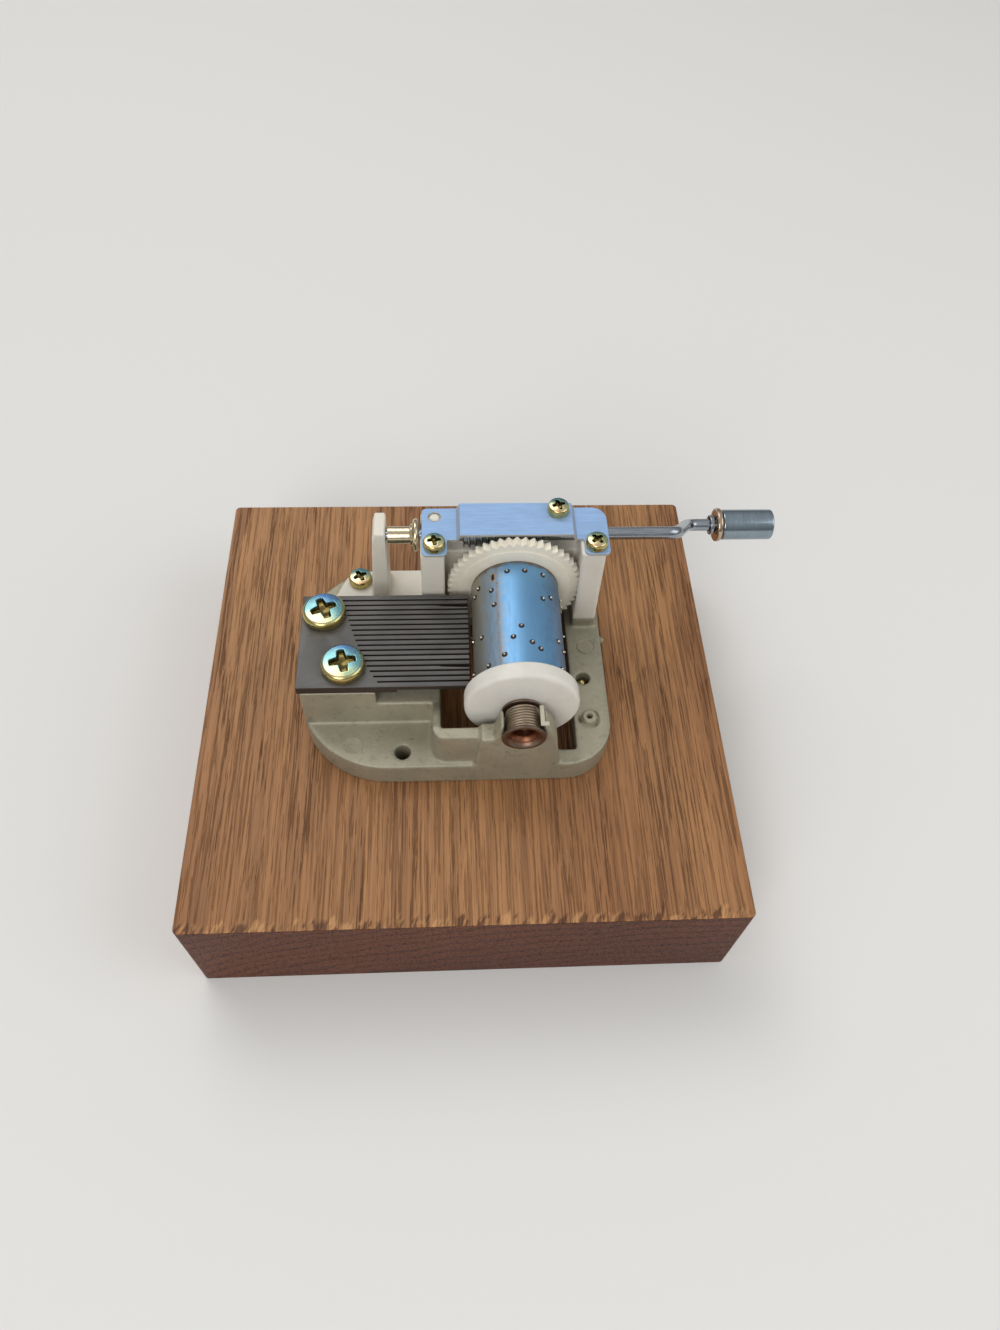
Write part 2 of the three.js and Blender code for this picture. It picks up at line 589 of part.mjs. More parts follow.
/** The drum gear: saw teeth on the rim, a plug in the cylinder and face teeth on the back. */
function gearGeometry() {
  const step = (2 * Math.PI) / gear.teeth;
  const bottom = gear.tipRadius - gear.toothDepth;
  const points = [];
  for (let i = 0; i < gear.teeth; i += 1) {
    const crest = (i + gear.crestShare) * step;
    points.push([bottom * Math.cos(i * step), bottom * Math.sin(i * step)]);
    points.push([gear.tipRadius * Math.cos(crest), gear.tipRadius * Math.sin(crest)]);
  }
  const plugFront = drumBack - gear.plugDepth;
  const outer = faceTooth.radius + faceTooth.length / 2;
  const inner = faceTooth.radius - faceTooth.length / 2;
  let body = alongY(outline(points), drumBack, gearBack);
  body = body.add(solid(turned([
    [0, plugFront], [plugRadius, plugFront], [plugRadius, drumBack + sink], [0, drumBack + sink],
  ], facetCount.round)));
  body = body.add(solid(turned([
    [inner, gearBack - sink], [outer, gearBack - sink], [outer, faceStepBack], [inner, faceStepBack],
    [inner, gearBack - sink],
  ], facetCount.drum)));
  const profile = outline([
    [-faceTooth.baseWidth / 2, faceStepBack - sink], [faceTooth.baseWidth / 2, faceStepBack - sink],
    [faceTooth.tipWidth / 2, faceToothTips], [-faceTooth.tipWidth / 2, faceToothTips],
  ]);
  const faceTeeth = [];
  for (let i = 0; i < gear.teeth; i += 1) {
    const bar = new THREE.ExtrudeGeometry(profile, {
      depth: faceTooth.length - 2 * faceTooth.inset, bevelEnabled: false,
    });
    faceTeeth.push(bar.translate(0, 0, inner + faceTooth.inset).rotateY(i * step));
  }
  body = body.add(solid(mergeGeometries(faceTeeth)));
  const hole = turned([
    [0, plugFront - overrun], [arborBore, plugFront - overrun], [arborBore, gearBack + overrun],
    [0, gearBack + overrun],
  ], facetCount.screw);
  return surface(body.subtract(solid(hole)));
}

/** The arbor, from inside the spool to its bearing in the bracket's wall. */
function arborGeometry() {
  const front = lipFront + arbor.frontRecess;
  const back = wallFront + bracket.wall;
  return surface(solid(turned([
    [0, front], [arbor.radius, front], [arbor.radius, back], [0, back],
  ], facetCount.small)));
}

/** The copper spool: a tube with a ring against the cap and a flared, open lip in front. */
function spoolGeometry() {
  const ringFront = capFront - spool.ringThickness;
  const mouthBore = spoolBody - spool.mouthWall;
  const floor = lipFront + spool.boreDepth;
  return surface(solid(turned([
    [arborBore, capFront], [spool.ringRadius, capFront], [spool.ringRadius, ringFront],
    [spoolBody, ringFront], [spoolBody, lipBack], [spool.lipRadius, lipBack],
    [spool.lipRadius, lipFront + spool.lipThickness / 2], [spool.mouthRadius, lipFront],
    [mouthBore, lipFront + spool.funnelDepth], [mouthBore, floor], [arborBore, floor], [arborBore, capFront],
  ], facetCount.round)));
}

/** The wrap spring round the spool, one unbroken tube of five sides, and its least own gap. */
function springGeometry() {
  const steps = 8;
  const sides = 5;
  const first = capFront - spool.ringThickness - spring.end - spring.wireRadius;
  const points = [];
  for (let i = 0; i <= spring.curls * steps; i += 1) {
    const angle = (2 * Math.PI * i) / steps;
    points.push(new THREE.Vector3(
      springRadius * Math.cos(angle), first - (springPitch * i) / steps, springRadius * Math.sin(angle)));
  }
  const positions = [];
  const indices = [];
  points.forEach((point, i) => {
    const before = points[Math.max(i - 1, 0)];
    const after = points[Math.min(i + 1, points.length - 1)];
    const along = after.clone().sub(before).normalize();
    const outwards = new THREE.Vector3(point.x, 0, point.z).normalize();
    const across = new THREE.Vector3().crossVectors(along, outwards).normalize();
    for (let k = 0; k < sides; k += 1) {
      const turn = (2 * Math.PI * k) / sides;
      const corner = point.clone();
      corner.addScaledVector(outwards, spring.wireRadius * Math.cos(turn));
      corner.addScaledVector(across, spring.wireRadius * Math.sin(turn));
      positions.push(corner.x, corner.y, corner.z);
      const next = (k + 1) % sides;
      const here = i * sides;
      if (i > 0) {
        indices.push(here - sides + k, here - sides + next, here + next);
        indices.push(here - sides + k, here + next, here + k);
      }
    }
  });
  const last = (points.length - 1) * sides;
  for (let k = 1; k < sides - 1; k += 1) {
    indices.push(0, k + 1, k);
    indices.push(last, last + k, last + k + 1);
  }
  const geometry = new THREE.BufferGeometry();
  geometry.setAttribute("position", new THREE.Float32BufferAttribute(positions, 3));
  geometry.setIndex(indices);
  let least = Infinity;
  points.forEach((point, i) => {
    for (const other of points.slice(i + steps - 1)) {
      least = Math.min(least, point.distanceTo(other) - 2 * spring.wireRadius);
    }
  });
  console.log(`wrap spring: least gap to itself ${least.toFixed(3)} mm`);
  return surface(solid(geometry));
}

/** The stop strip on the saddle's right horn, seen from above an L. */
function stopGeometry() {
  const left = drum.x + notch - stop.overhang;
  const right = left + stop.width;
  const front = bedFront + stop.setBack;
  const low = drum.z + saddle.hornRise;
  const shape = outline([
    [left, front], [left + stop.footLength, front], [left + stop.footLength, front + stop.width],
    [right, front + stop.width], [right, front + stop.length], [left, front + stop.length],
  ]);
  return surface(slab(shape, low, low + stop.thickness));
}

/** The worm: rows of thread profile wound round X, cut square at both ends and bored for the wire. */
function wormGeometry() {
  const { rootRadius: low, crestRadius: crest } = worm;
  const { baseShare, tipShare } = wormThread;
  const shares = [-baseShare / 2, -tipShare / 2, tipShare / 2, baseShare / 2];
  const radii = [low, crest, crest, low];
  const n = facetCount.worm;
  const left = drum.x - worm.left;
  const right = drum.x + worm.right;
  const firstTurn = Math.floor(-worm.left / wormPitch) - 2;
  const lastTurn = Math.ceil(worm.right / wormPitch) + 1;
  const rows = (lastTurn - firstTurn) * shares.length;
  const positions = [];
  const indices = [];
  for (let j = 0; j <= rows; j += 1) {
    const q = j % shares.length;
    const ending = j <= shares.length || j >= rows - shares.length;
    const radius = ending ? low : radii[q];
    for (let i = 0; i < n; i += 1) {
      const turn = (2 * Math.PI * i) / n;
      const crests = firstTurn + Math.floor(j / shares.length) + 1 / 2 + shares[q] + i / n;
      positions.push(drum.x + wormPitch * crests, -radius * Math.cos(turn), -radius * Math.sin(turn));
    }
  }
  const at = (j, i) => (i < n ? j * n + i : (j + shares.length) * n);
  for (let j = 0; j < rows; j += 1) {
    for (let i = 0; i < n; i += 1) {
      if (i === n - 1 && j + 1 + shares.length > rows) continue;
      indices.push(at(j, i), at(j, i + 1), at(j + 1, i + 1));
      indices.push(at(j, i), at(j + 1, i + 1), at(j + 1, i));
    }
  }
  const startLoop = [...Array(n + 1).keys()].map((i) => at(0, i));
  for (let j = shares.length - 1; j > 0; j -= 1) startLoop.push(at(j, 0));
  const endLoop = [...Array(n).keys()].map((i) => at(rows, i)).reverse();
  for (let j = rows - shares.length; j < rows; j += 1) endLoop.push(at(j, n - 1));
  const hub = positions.length / 3;
  positions.push(drum.x + wormPitch * (firstTurn - 1), 0, 0);
  positions.push(drum.x + wormPitch * (lastTurn + 2), 0, 0);
  startLoop.forEach((v, k) => indices.push(hub, startLoop[(k + 1) % startLoop.length], v));
  endLoop.forEach((v, k) => indices.push(hub + 1, endLoop[(k + 1) % endLoop.length], v));
  const geometry = new THREE.BufferGeometry();
  geometry.setAttribute("position", new THREE.Float32BufferAttribute(positions, 3));
  geometry.setIndex(indices);
  const wide = crest + overrun;
  let body = solid(geometry).intersect(brick([left, right], [-wide, wide], [-wide, wide]));
  body = body.subtract(rodAlongX(wire.radius + seatGap, left - overrun, right + overrun));
  return surface(body);
}

/** The crank wire: shaft, leaning arm and knob pin in one bent rod, with a thin spigot at its end. */
function wireGeometry() {
  const start = new THREE.Vector3(leftPostLeft, 0, 0);
  const elbow = new THREE.Vector3(crank.reach, 0, 0);
  const knee = new THREE.Vector3(pinStart, throwY, throwZ);
  const end = new THREE.Vector3(knobLeft + knob.flangeThickness + wire.tail, throwY, throwZ);
  const towards = (from, to) => from.clone().addScaledVector(to.clone().sub(from).normalize(), wire.bend);
  const path = new THREE.CurvePath();
  path.add(new THREE.LineCurve3(start, towards(elbow, start)));
  path.add(new THREE.QuadraticBezierCurve3(towards(elbow, start), elbow, towards(elbow, knee)));
  path.add(new THREE.LineCurve3(towards(elbow, knee), towards(knee, elbow)));
  path.add(new THREE.QuadraticBezierCurve3(towards(knee, elbow), knee, towards(knee, end)));
  path.add(new THREE.LineCurve3(towards(knee, end), end));
  const section = new THREE.Shape();
  for (let k = 0; k < facetCount.wire; k += 1) {
    const turn = (2 * Math.PI * k) / facetCount.wire;
    const [a, b] = [wire.radius * Math.cos(turn), wire.radius * Math.sin(turn)];
    if (k === 0) section.moveTo(a, b);
    else section.lineTo(a, b);
  }
  const bent = new THREE.ExtrudeGeometry(section, {
    steps: facetCount.alongWire, extrudePath: path, curveSegments: 1,
  });
  const spigotLeft = fingerRight - finger.socketDepth + seatGap;
  const spigot = rodAlongX(wire.spigotRadius, spigotLeft, leftPostLeft + sink, facetCount.small);
  return surface(solid(bent).add(spigot));
}

/** The sleeve on the wire's far end, with its collar against the left post. */
function sleeveGeometry() {
  const bore = wire.spigotRadius + seatGap;
  const { flangeRadius, edge } = sleeve;
  const shoulder = sleeveRight - sleeve.flangeThickness;
  return surface(solid(turned([
    [bore, sleeveLeft], [sleeve.radius, sleeveLeft], [sleeve.radius, shoulder - edge],
    [flangeRadius - edge, shoulder], [flangeRadius, shoulder + edge], [flangeRadius, sleeveRight],
    [bore, sleeveRight], [bore, sleeveLeft],
  ], facetCount.round).applyMatrix4(turnedAlongX)));
}

/** The collar that keeps the knob on its pin. */
function collarGeometry() {
  const bore = wire.radius + seatGap;
  const right = collarLeft + collar.thickness;
  return surface(solid(turned([
    [bore, collarLeft], [collar.radius, collarLeft], [collar.radius, right], [bore, right],
    [bore, collarLeft],
  ], facetCount.screw).applyMatrix4(turnedAlongX)));
}

/** The knob: flange, neck and grip, bored blind from its inner end. */
function knobGeometry() {
  const bore = wire.radius + runningGap;
  const neckLeft = knobLeft + knob.flangeThickness;
  const gripLeft = neckLeft + knob.neckLength;
  const floor = neckLeft + wire.tail + runningGap;
  const { radius, edge, flangeRadius, neckRadius } = knob;
  return surface(solid(turned([
    [bore, knobLeft], [flangeRadius - edge, knobLeft], [flangeRadius, knobLeft + edge],
    [flangeRadius, neckLeft - edge], [flangeRadius - edge, neckLeft], [neckRadius, neckLeft],
    [neckRadius, gripLeft], [radius - edge, gripLeft], [radius, gripLeft + edge],
    [radius, knobRight - edge], [radius - edge, knobRight], [0, knobRight],
    [0, floor], [bore, floor], [bore, knobLeft],
  ], facetCount.round).applyMatrix4(turnedAlongX)));
}

/** The finger's outline in X and Z: a narrow head on a shank that widens to the left. */
function fingerOutline() {
  const top = shaft.z + finger.rise;
  const step = top - finger.stepDown;
  return outline([
    [fingerRight, baseTop - sink], [fingerRight, top], [fingerLeft, top], [fingerLeft, step],
    [fingerLeft - finger.stepOut, step], [fingerLeft - finger.footOut, baseTop - sink],
  ]);
}

/** The outline in Y and Z of an open slot for the shaft, as far out from its axis as reach. */
function shaftSlot(reach) {
  const shape = new THREE.Shape();
  shape.moveTo(shaft.y + reach, plateUnder + overrun);
  shape.lineTo(shaft.y - reach, plateUnder + overrun);
  shape.lineTo(shaft.y - reach, shaft.z);
  shape.absarc(shaft.y, shaft.z, reach, Math.PI, 2 * Math.PI, false);
  return shape;
}

/** The nylon bracket: foot, two posts, bearing wall, screw boss, plate pin and the sleeve's finger. */
function bracketGeometry() {
  const gearSpace = gear.tipRadius + sideGap;
  const slotShape = shaftSlot(wire.radius + runningGap);
  const wallBack = wallFront + bracket.wall;
  const posts = [[leftPostLeft, leftPostRight], [rightPostLeft, rightPostRight]];
  const round = Array(4).fill(post.cornerRadius);
  let body = slab(footOutline(), padHeight, baseTop);
  for (const [left, right] of posts) {
    body = body.add(slab(roundedOutline(left, postFront, right, postBack, round), padHeight, plateUnder));
  }
  const wallTop = shaft.z - bracket.wallDrop;
  body = body.add(brick(
    [leftPostRight - sink, rightPostLeft + sink], [wallFront, wallBack], [baseTop - sink, wallTop]));
  body = body.add(brick(
    [screwBossX - screwBoss.halfWidth, screwBossX + screwBoss.halfWidth],
    [screwBossFront, postBack + screwBoss.backOut], [baseTop - sink, bridgeUnder]));
  body = body.add(alongY(fingerOutline(), fingerFront, fingerFront + finger.depth));
  body = body.add(rod(locator.radius, locatorPlace.x, locatorPlace.y, plateUnder - sink, plateTop));
  for (const [left, right] of posts) {
    body = body.subtract(alongX(slotShape, left - overrun, right + overrun));
  }
  const socketRadius = wire.spigotRadius + runningGap;
  const socket = rodAlongX(socketRadius, fingerRight - finger.socketDepth, fingerRight + overrun);
  body = body.subtract(socket.translate(0, shaft.y, shaft.z));
  const pocket = turned([
    [0, drumBack - runningGap], [gearSpace, drumBack - runningGap],
    [gearSpace, gearBack + runningGap], [0, gearBack + runningGap],
  ], facetCount.drum).translate(drum.x, 0, drum.z);
  body = body.subtract(solid(pocket));
  const bearing = turned([
    [0, wallFront - overrun], [arbor.radius + runningGap, wallFront - overrun],
    [arbor.radius + runningGap, wallBack + overrun], [0, wallBack + overrun],
  ], facetCount.screw).translate(drum.x, 0, drum.z);
  body = body.subtract(solid(bearing));
  for (const { x, y, top } of plateScrews()) {
    const floor = top - plateScrew.length - seatGap;
    body = body.subtract(rod(plateScrew.shankRadius + seatGap, x, y, floor, top + overrun));
  }
  const flangeHoleRadius = bracketScrew.shankRadius + seatGap;
  body = body.subtract(rod(flangeHoleRadius, ...flangeScrew(), padHeight - overrun, baseTop + overrun));
  return surface(body);
}

/** The three plate screws: where they stand and the height of the plate under each head. */
function plateScrews() {
  const y = postFront - plate.tabFront + tabScrew.fromFront;
  const leftX = leftPostLeft + post.width / 2 + tabScrew.leftShift;
  const rightX = rightPostLeft + post.rightWidth / 2 + tabScrew.rightShift;
  return [
    { name: "plate_screw_left", x: leftX, y, top: plateTop },
    { name: "plate_screw_right", x: rightX, y, top: plateTop },
    { name: "plate_screw_rear", x: screwBossX, y: rearPlateScrewY, top: bridgeTop },
  ];
}

/** The top plate: a strip that steps up to the bridge over the worm, with a tab on each post. */
function plateGeometry() {
  const { cornerRadius, backCornerRadius, thickness } = plate;
  const bridgeLeft = leftPostRight + bridge.fromLeftPost;
  const bridgeRight = rightPostLeft - bridge.fromRightPost;
  const bridgeFront = postFront + bridge.fromPostFront;
  const half = thickness / 2;
  const strip = outline([
    [plateLeft, plateUnder], [bridgeLeft - bridge.ramp + half, plateUnder],
    [bridgeLeft + half, bridgeUnder], [bridgeRight - half, bridgeUnder],
    [bridgeRight + bridge.ramp - half, plateUnder], [plateRight, plateUnder],
    [plateRight, plateTop], [bridgeRight + bridge.ramp, plateTop], [bridgeRight, bridgeTop],
    [bridgeLeft, bridgeTop], [bridgeLeft - bridge.ramp, plateTop], [plateLeft, plateTop],
  ]);
  const around = roundedOutline(
    plateLeft, bridgeFront - overrun, plateRight, plateBack, [0, 0, backCornerRadius, cornerRadius]);
  let body = alongY(strip, bridgeFront, plateBack);
  body = body.intersect(slab(around, plateUnder - overrun, bridgeTop + overrun));
  for (const left of [plateLeft, plateRight - plate.tabWidth]) {
    const tab = roundedOutline(
      left, postFront - plate.tabFront, left + plate.tabWidth, bridgeFront + overrun,
      [cornerRadius, cornerRadius, 0, 0]);
    body = body.add(slab(tab, plateUnder, plateTop));
  }
  for (const { x, y, top } of plateScrews()) {
    const hole = plateScrew.shankRadius + seatGap;
    body = body.subtract(rod(hole, x, y, plateUnder - overrun, top + overrun));
  }
  const pinHole = rod(
    locator.radius + seatGap, locatorPlace.x, locatorPlace.y, plateUnder - overrun, plateTop + overrun);
  return surface(body.subtract(pinHole));
}

/** A named mesh in a group, at a place of its own. */
function piece(group, name, geometry, material, place = [0, 0, 0]) {
  const mesh = new THREE.Mesh(geometry, material);
  mesh.name = name;
  mesh.position.set(...place);
  group.add(mesh);
}

const musicBox = new THREE.Group();
const movement = new THREE.Group();
movement.position.set(0, 0, block.height);
const drumAxis = new THREE.Group();
drumAxis.position.set(drum.x, 0, drum.z);
const crankAxis = new THREE.Group();
crankAxis.position.set(0, shaft.y, shaft.z);
const knobAxis = new THREE.Group();
knobAxis.position.set(0, throwY, throwZ);
musicBox.add(movement);
movement.add(drumAxis, crankAxis);
crankAxis.add(knobAxis);

piece(musicBox, "base_block", blockGeometry(), oak);
baseScrews.forEach(({ x, y }, i) => {
  const place = [x, y, baseScrew.grip - baseScrew.length];
  piece(movement, `base_screw_${i + 1}`, screwUpwards(baseScrew), yellowZinc, place);
});

piece(movement, "bedplate", bedplateGeometry(), zinc);
piece(movement, "comb", combGeometry(), toolSteel);
["comb_screw_rear", "comb_screw_front"].forEach((name, i) => {
  const { x, y } = combScrews[i];
  piece(movement, name, screw(combScrew), yellowZinc, [x, y, combTop]);
});
for (let i = 0; i < weight.count; i += 1) {
  piece(movement, `tooth_weight_${i + 1}`, weightGeometry(i), lead);
}
piece(drumAxis, "music_cylinder", cylinderGeometry(), brightZinc);
piece(drumAxis, "drum_gear", gearGeometry(), whiteNylon);
piece(drumAxis, "drum_cap", capGeometry(), whiteNylon);
piece(drumAxis, "arbor", arborGeometry(), nickel);
piece(drumAxis, "spool", spoolGeometry(), copper);
piece(drumAxis, "wrap_spring", springGeometry(), springSteel);
piece(movement, "spring_stop", stopGeometry(), cream);
piece(movement, "gear_bracket", bracketGeometry(), nylon);
piece(movement, "bracket_screw", screw(bracketScrew), yellowZinc, [...flangeScrew(), baseTop]);
piece(movement, "top_plate", plateGeometry(), brightZinc);
for (const { name, x, y, top } of plateScrews()) {
  piece(movement, name, screw(plateScrew), yellowZinc, [x, y, top]);
}
piece(crankAxis, "worm", wormGeometry(), nickel);
piece(crankAxis, "crank_wire", wireGeometry(), nickel);
piece(crankAxis, "end_sleeve", sleeveGeometry(), nickel);
piece(knobAxis, "knob_collar", collarGeometry(), nickel);
piece(knobAxis, "crank_knob", knobGeometry(), nickel);

export default musicBox;
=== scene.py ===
import json
import logging
import math
from dataclasses import dataclass, field
from enum import Enum
from functools import cache

import bmesh
import bpy
import numpy as np
from mathutils import Matrix, Vector


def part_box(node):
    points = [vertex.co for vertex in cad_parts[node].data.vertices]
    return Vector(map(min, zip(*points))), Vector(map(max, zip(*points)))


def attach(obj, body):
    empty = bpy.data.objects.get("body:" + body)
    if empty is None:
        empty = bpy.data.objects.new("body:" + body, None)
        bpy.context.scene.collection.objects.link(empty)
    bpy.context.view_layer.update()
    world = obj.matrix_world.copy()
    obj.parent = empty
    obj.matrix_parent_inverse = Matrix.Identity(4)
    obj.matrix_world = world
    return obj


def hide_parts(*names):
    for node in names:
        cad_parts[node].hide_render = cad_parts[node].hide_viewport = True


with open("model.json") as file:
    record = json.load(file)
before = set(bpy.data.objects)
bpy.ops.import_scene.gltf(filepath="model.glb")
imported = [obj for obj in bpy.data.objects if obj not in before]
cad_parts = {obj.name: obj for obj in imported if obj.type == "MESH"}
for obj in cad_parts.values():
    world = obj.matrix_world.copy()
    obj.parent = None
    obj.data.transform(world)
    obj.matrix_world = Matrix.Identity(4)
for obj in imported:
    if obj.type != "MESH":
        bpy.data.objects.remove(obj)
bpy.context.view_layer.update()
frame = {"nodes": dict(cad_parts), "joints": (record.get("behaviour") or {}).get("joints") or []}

MM = 0.001
TURN = 2 * math.pi
log = logging.getLogger("music_box")

Array = np.ndarray
Triple = tuple[float, float, float]
Colour = Triple
Surface = tuple[Array, Array]
Marks = dict[str, Array]
Socket = bpy.types.NodeSocket
Node = bpy.types.Node
Piece = bpy.types.Object


class Axis(Enum):
    """The axis that a turned shape lies along."""

    X = "x"
    Y = "y"
    Z = "z"

    def place(self, a: Array, b: Array, h: Array, centre: Array | Triple) -> Array:
        """Lays local points along the axis.

        Args:
            a: First distance across the axis.
            b: Second distance across the axis.
            h: Distance along the axis.
            centre: The axis's point where all three are zero, in millimetres.

        Returns:
            Points with their three coordinates last.
        """
        order = {Axis.X: (h, a, b), Axis.Y: (a, h, b), Axis.Z: (a, b, h)}[self]
        return np.stack(np.broadcast_arrays(*order), axis=-1) + np.asarray(centre, float)


def span(node: str) -> tuple[Array, Array]:
    """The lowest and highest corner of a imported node, in millimetres."""
    low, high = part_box(node)
    return np.array(low) / MM, np.array(high) / MM


def joint_place(name: str) -> Array:
    """The point that a joint's axis goes through, in millimetres."""
    found = next(joint for joint in frame["joints"] if joint["name"] == name)
    return np.array(found["pos_m"], float) / MM


def round_angles(count: int) -> Array:
    """The angles of points spread evenly round a circle."""
    return np.arange(count) * TURN / count


def smooth(value: Array, low: float, high: float) -> Array:
    """A soft step from 0 at low to 1 at high: three squares of the share less two cubes."""
    t = np.clip((value - low) / (high - low), 0, 1)
    return t * t * (3 - 2 * t)


def bend(first: Array, corner: Array, last: Array, t: Array) -> Array:
    """A quadratic curve: (1 - t)^2 first points, 2 t (1 - t) corners and t^2 last points."""
    return (1 - t) ** 2 * first + 2 * t * (1 - t) * corner + t ** 2 * last


def eased(corners: Array, radius: float | Array, steps: int = 4, closed: bool = True) -> Array:
    """Rounds the corners of an outline.

    Each corner becomes a quadratic curve from a point one radius before it to one a radius after,
    held to under half of the shorter side.

    Args:
        corners: Points with two coordinates each.
        radius: One radius, or one for each corner.
        steps: Straight pieces in each rounded corner.
        closed: Whether the last point joins the first. An open outline keeps its two ends.

    Returns:
        The rounded outline's points.
    """
    corners = np.asarray(corners, float)
    radii = np.broadcast_to(np.asarray(radius, float), len(corners))

    def beside(other: Array) -> Array:
        """The points one radius from each corner on the way to another.

        Args:
            other: The point that each corner is joined to.

        Returns:
            One point for each corner.
        """
        way = other - corners
        length = np.linalg.norm(way, axis=1)
        share = np.minimum(radii, 0.45 * length) / np.maximum(length, 1e-9)
        return corners + way * share[:, None]

    first, last = beside(np.roll(corners, 1, axis=0)), beside(np.roll(corners, -1, axis=0))
    t = np.linspace(0, 1, steps + 1)[None, :, None]
    curve = bend(first[:, None], corners[:, None], last[:, None], t)
    if closed:
        return curve.reshape(-1, 2)
    return np.vstack([corners[:1], curve[1:-1].reshape(-1, 2), corners[-1:]])


def grid_faces(rows: int, columns: int, ring: bool = False) -> Array:
    """The quads between neighbouring points of a grid stored row by row.

    Args:
        rows: Rows of the grid.
        columns: Points in each row, of which the last joins the first.
        ring: Whether the last row joins the first too.

    Returns:
        Four point numbers for each quad.
    """
    r = np.arange(rows if ring else rows - 1)
    rr, cc = np.meshgrid(r, np.arange(columns), indexing="ij")
    down, right = (rr + 1) % rows, (cc + 1) % columns
    quads = [rr * columns + cc, rr * columns + right, down * columns + right, down * columns + cc]
    return np.stack(quads, axis=-1).reshape(-1, 4)


def revolved(
    profile: Array, axis: Axis, centre: Array | Triple, segments: int = 96, ring: bool = False
) -> Surface:
    """Turns a profile of (radius, height) points round an axis.

    Args:
        profile: The points, one row each.
        axis: The axis to turn about.
        centre: A point on the axis, in millimetres.
        segments: Points round the axis.
        ring: Whether the profile closes on itself, as a tube's does.

    Returns:
        Points and faces of the surface.
    """
    turn = round_angles(segments)
    r, h = profile[:, :1], profile[:, 1:]
    points = axis.place(r * np.cos(turn), r * np.sin(turn), h + 0 * turn, centre)
    return points.reshape(-1, 3), grid_faces(len(profile), segments, ring)


def carried(line: Array, first: Array, second: Array, radius: float, sides: int) -> Array:
    """Carries a circle along a line.

    A point of the circle is the line's point plus the radius times the first direction's share,
    cos(turn), and the second direction's, sin(turn).

    Args:
        line: Points of the line.
        first: First direction across the line at each point.
        second: Second direction, square to the first.
        radius: The circle's radius.
        sides: Points round the circle.

    Returns:
        One ring of points for each point of the line.
    """
    turn = round_angles(sides)[None, :, None]
    return line[:, None] + radius * (first[:, None] * np.cos(turn) + second[:, None] * np.sin(turn))


def capped(rings: Array) -> Surface:
    """Closes a tube with a fan from the middle of each end.

    Args:
        rings: The tube's rings of points.

    Returns:
        Points and faces of the closed surface.
    """
    ends = np.broadcast_to(rings[[0, -1]].mean(axis=1, keepdims=True), (2, *rings.shape[1:]))
    rings = np.concatenate([ends[:1], rings, ends[1:]])
    return rings.reshape(-1, 3), grid_faces(*rings.shape[:2])


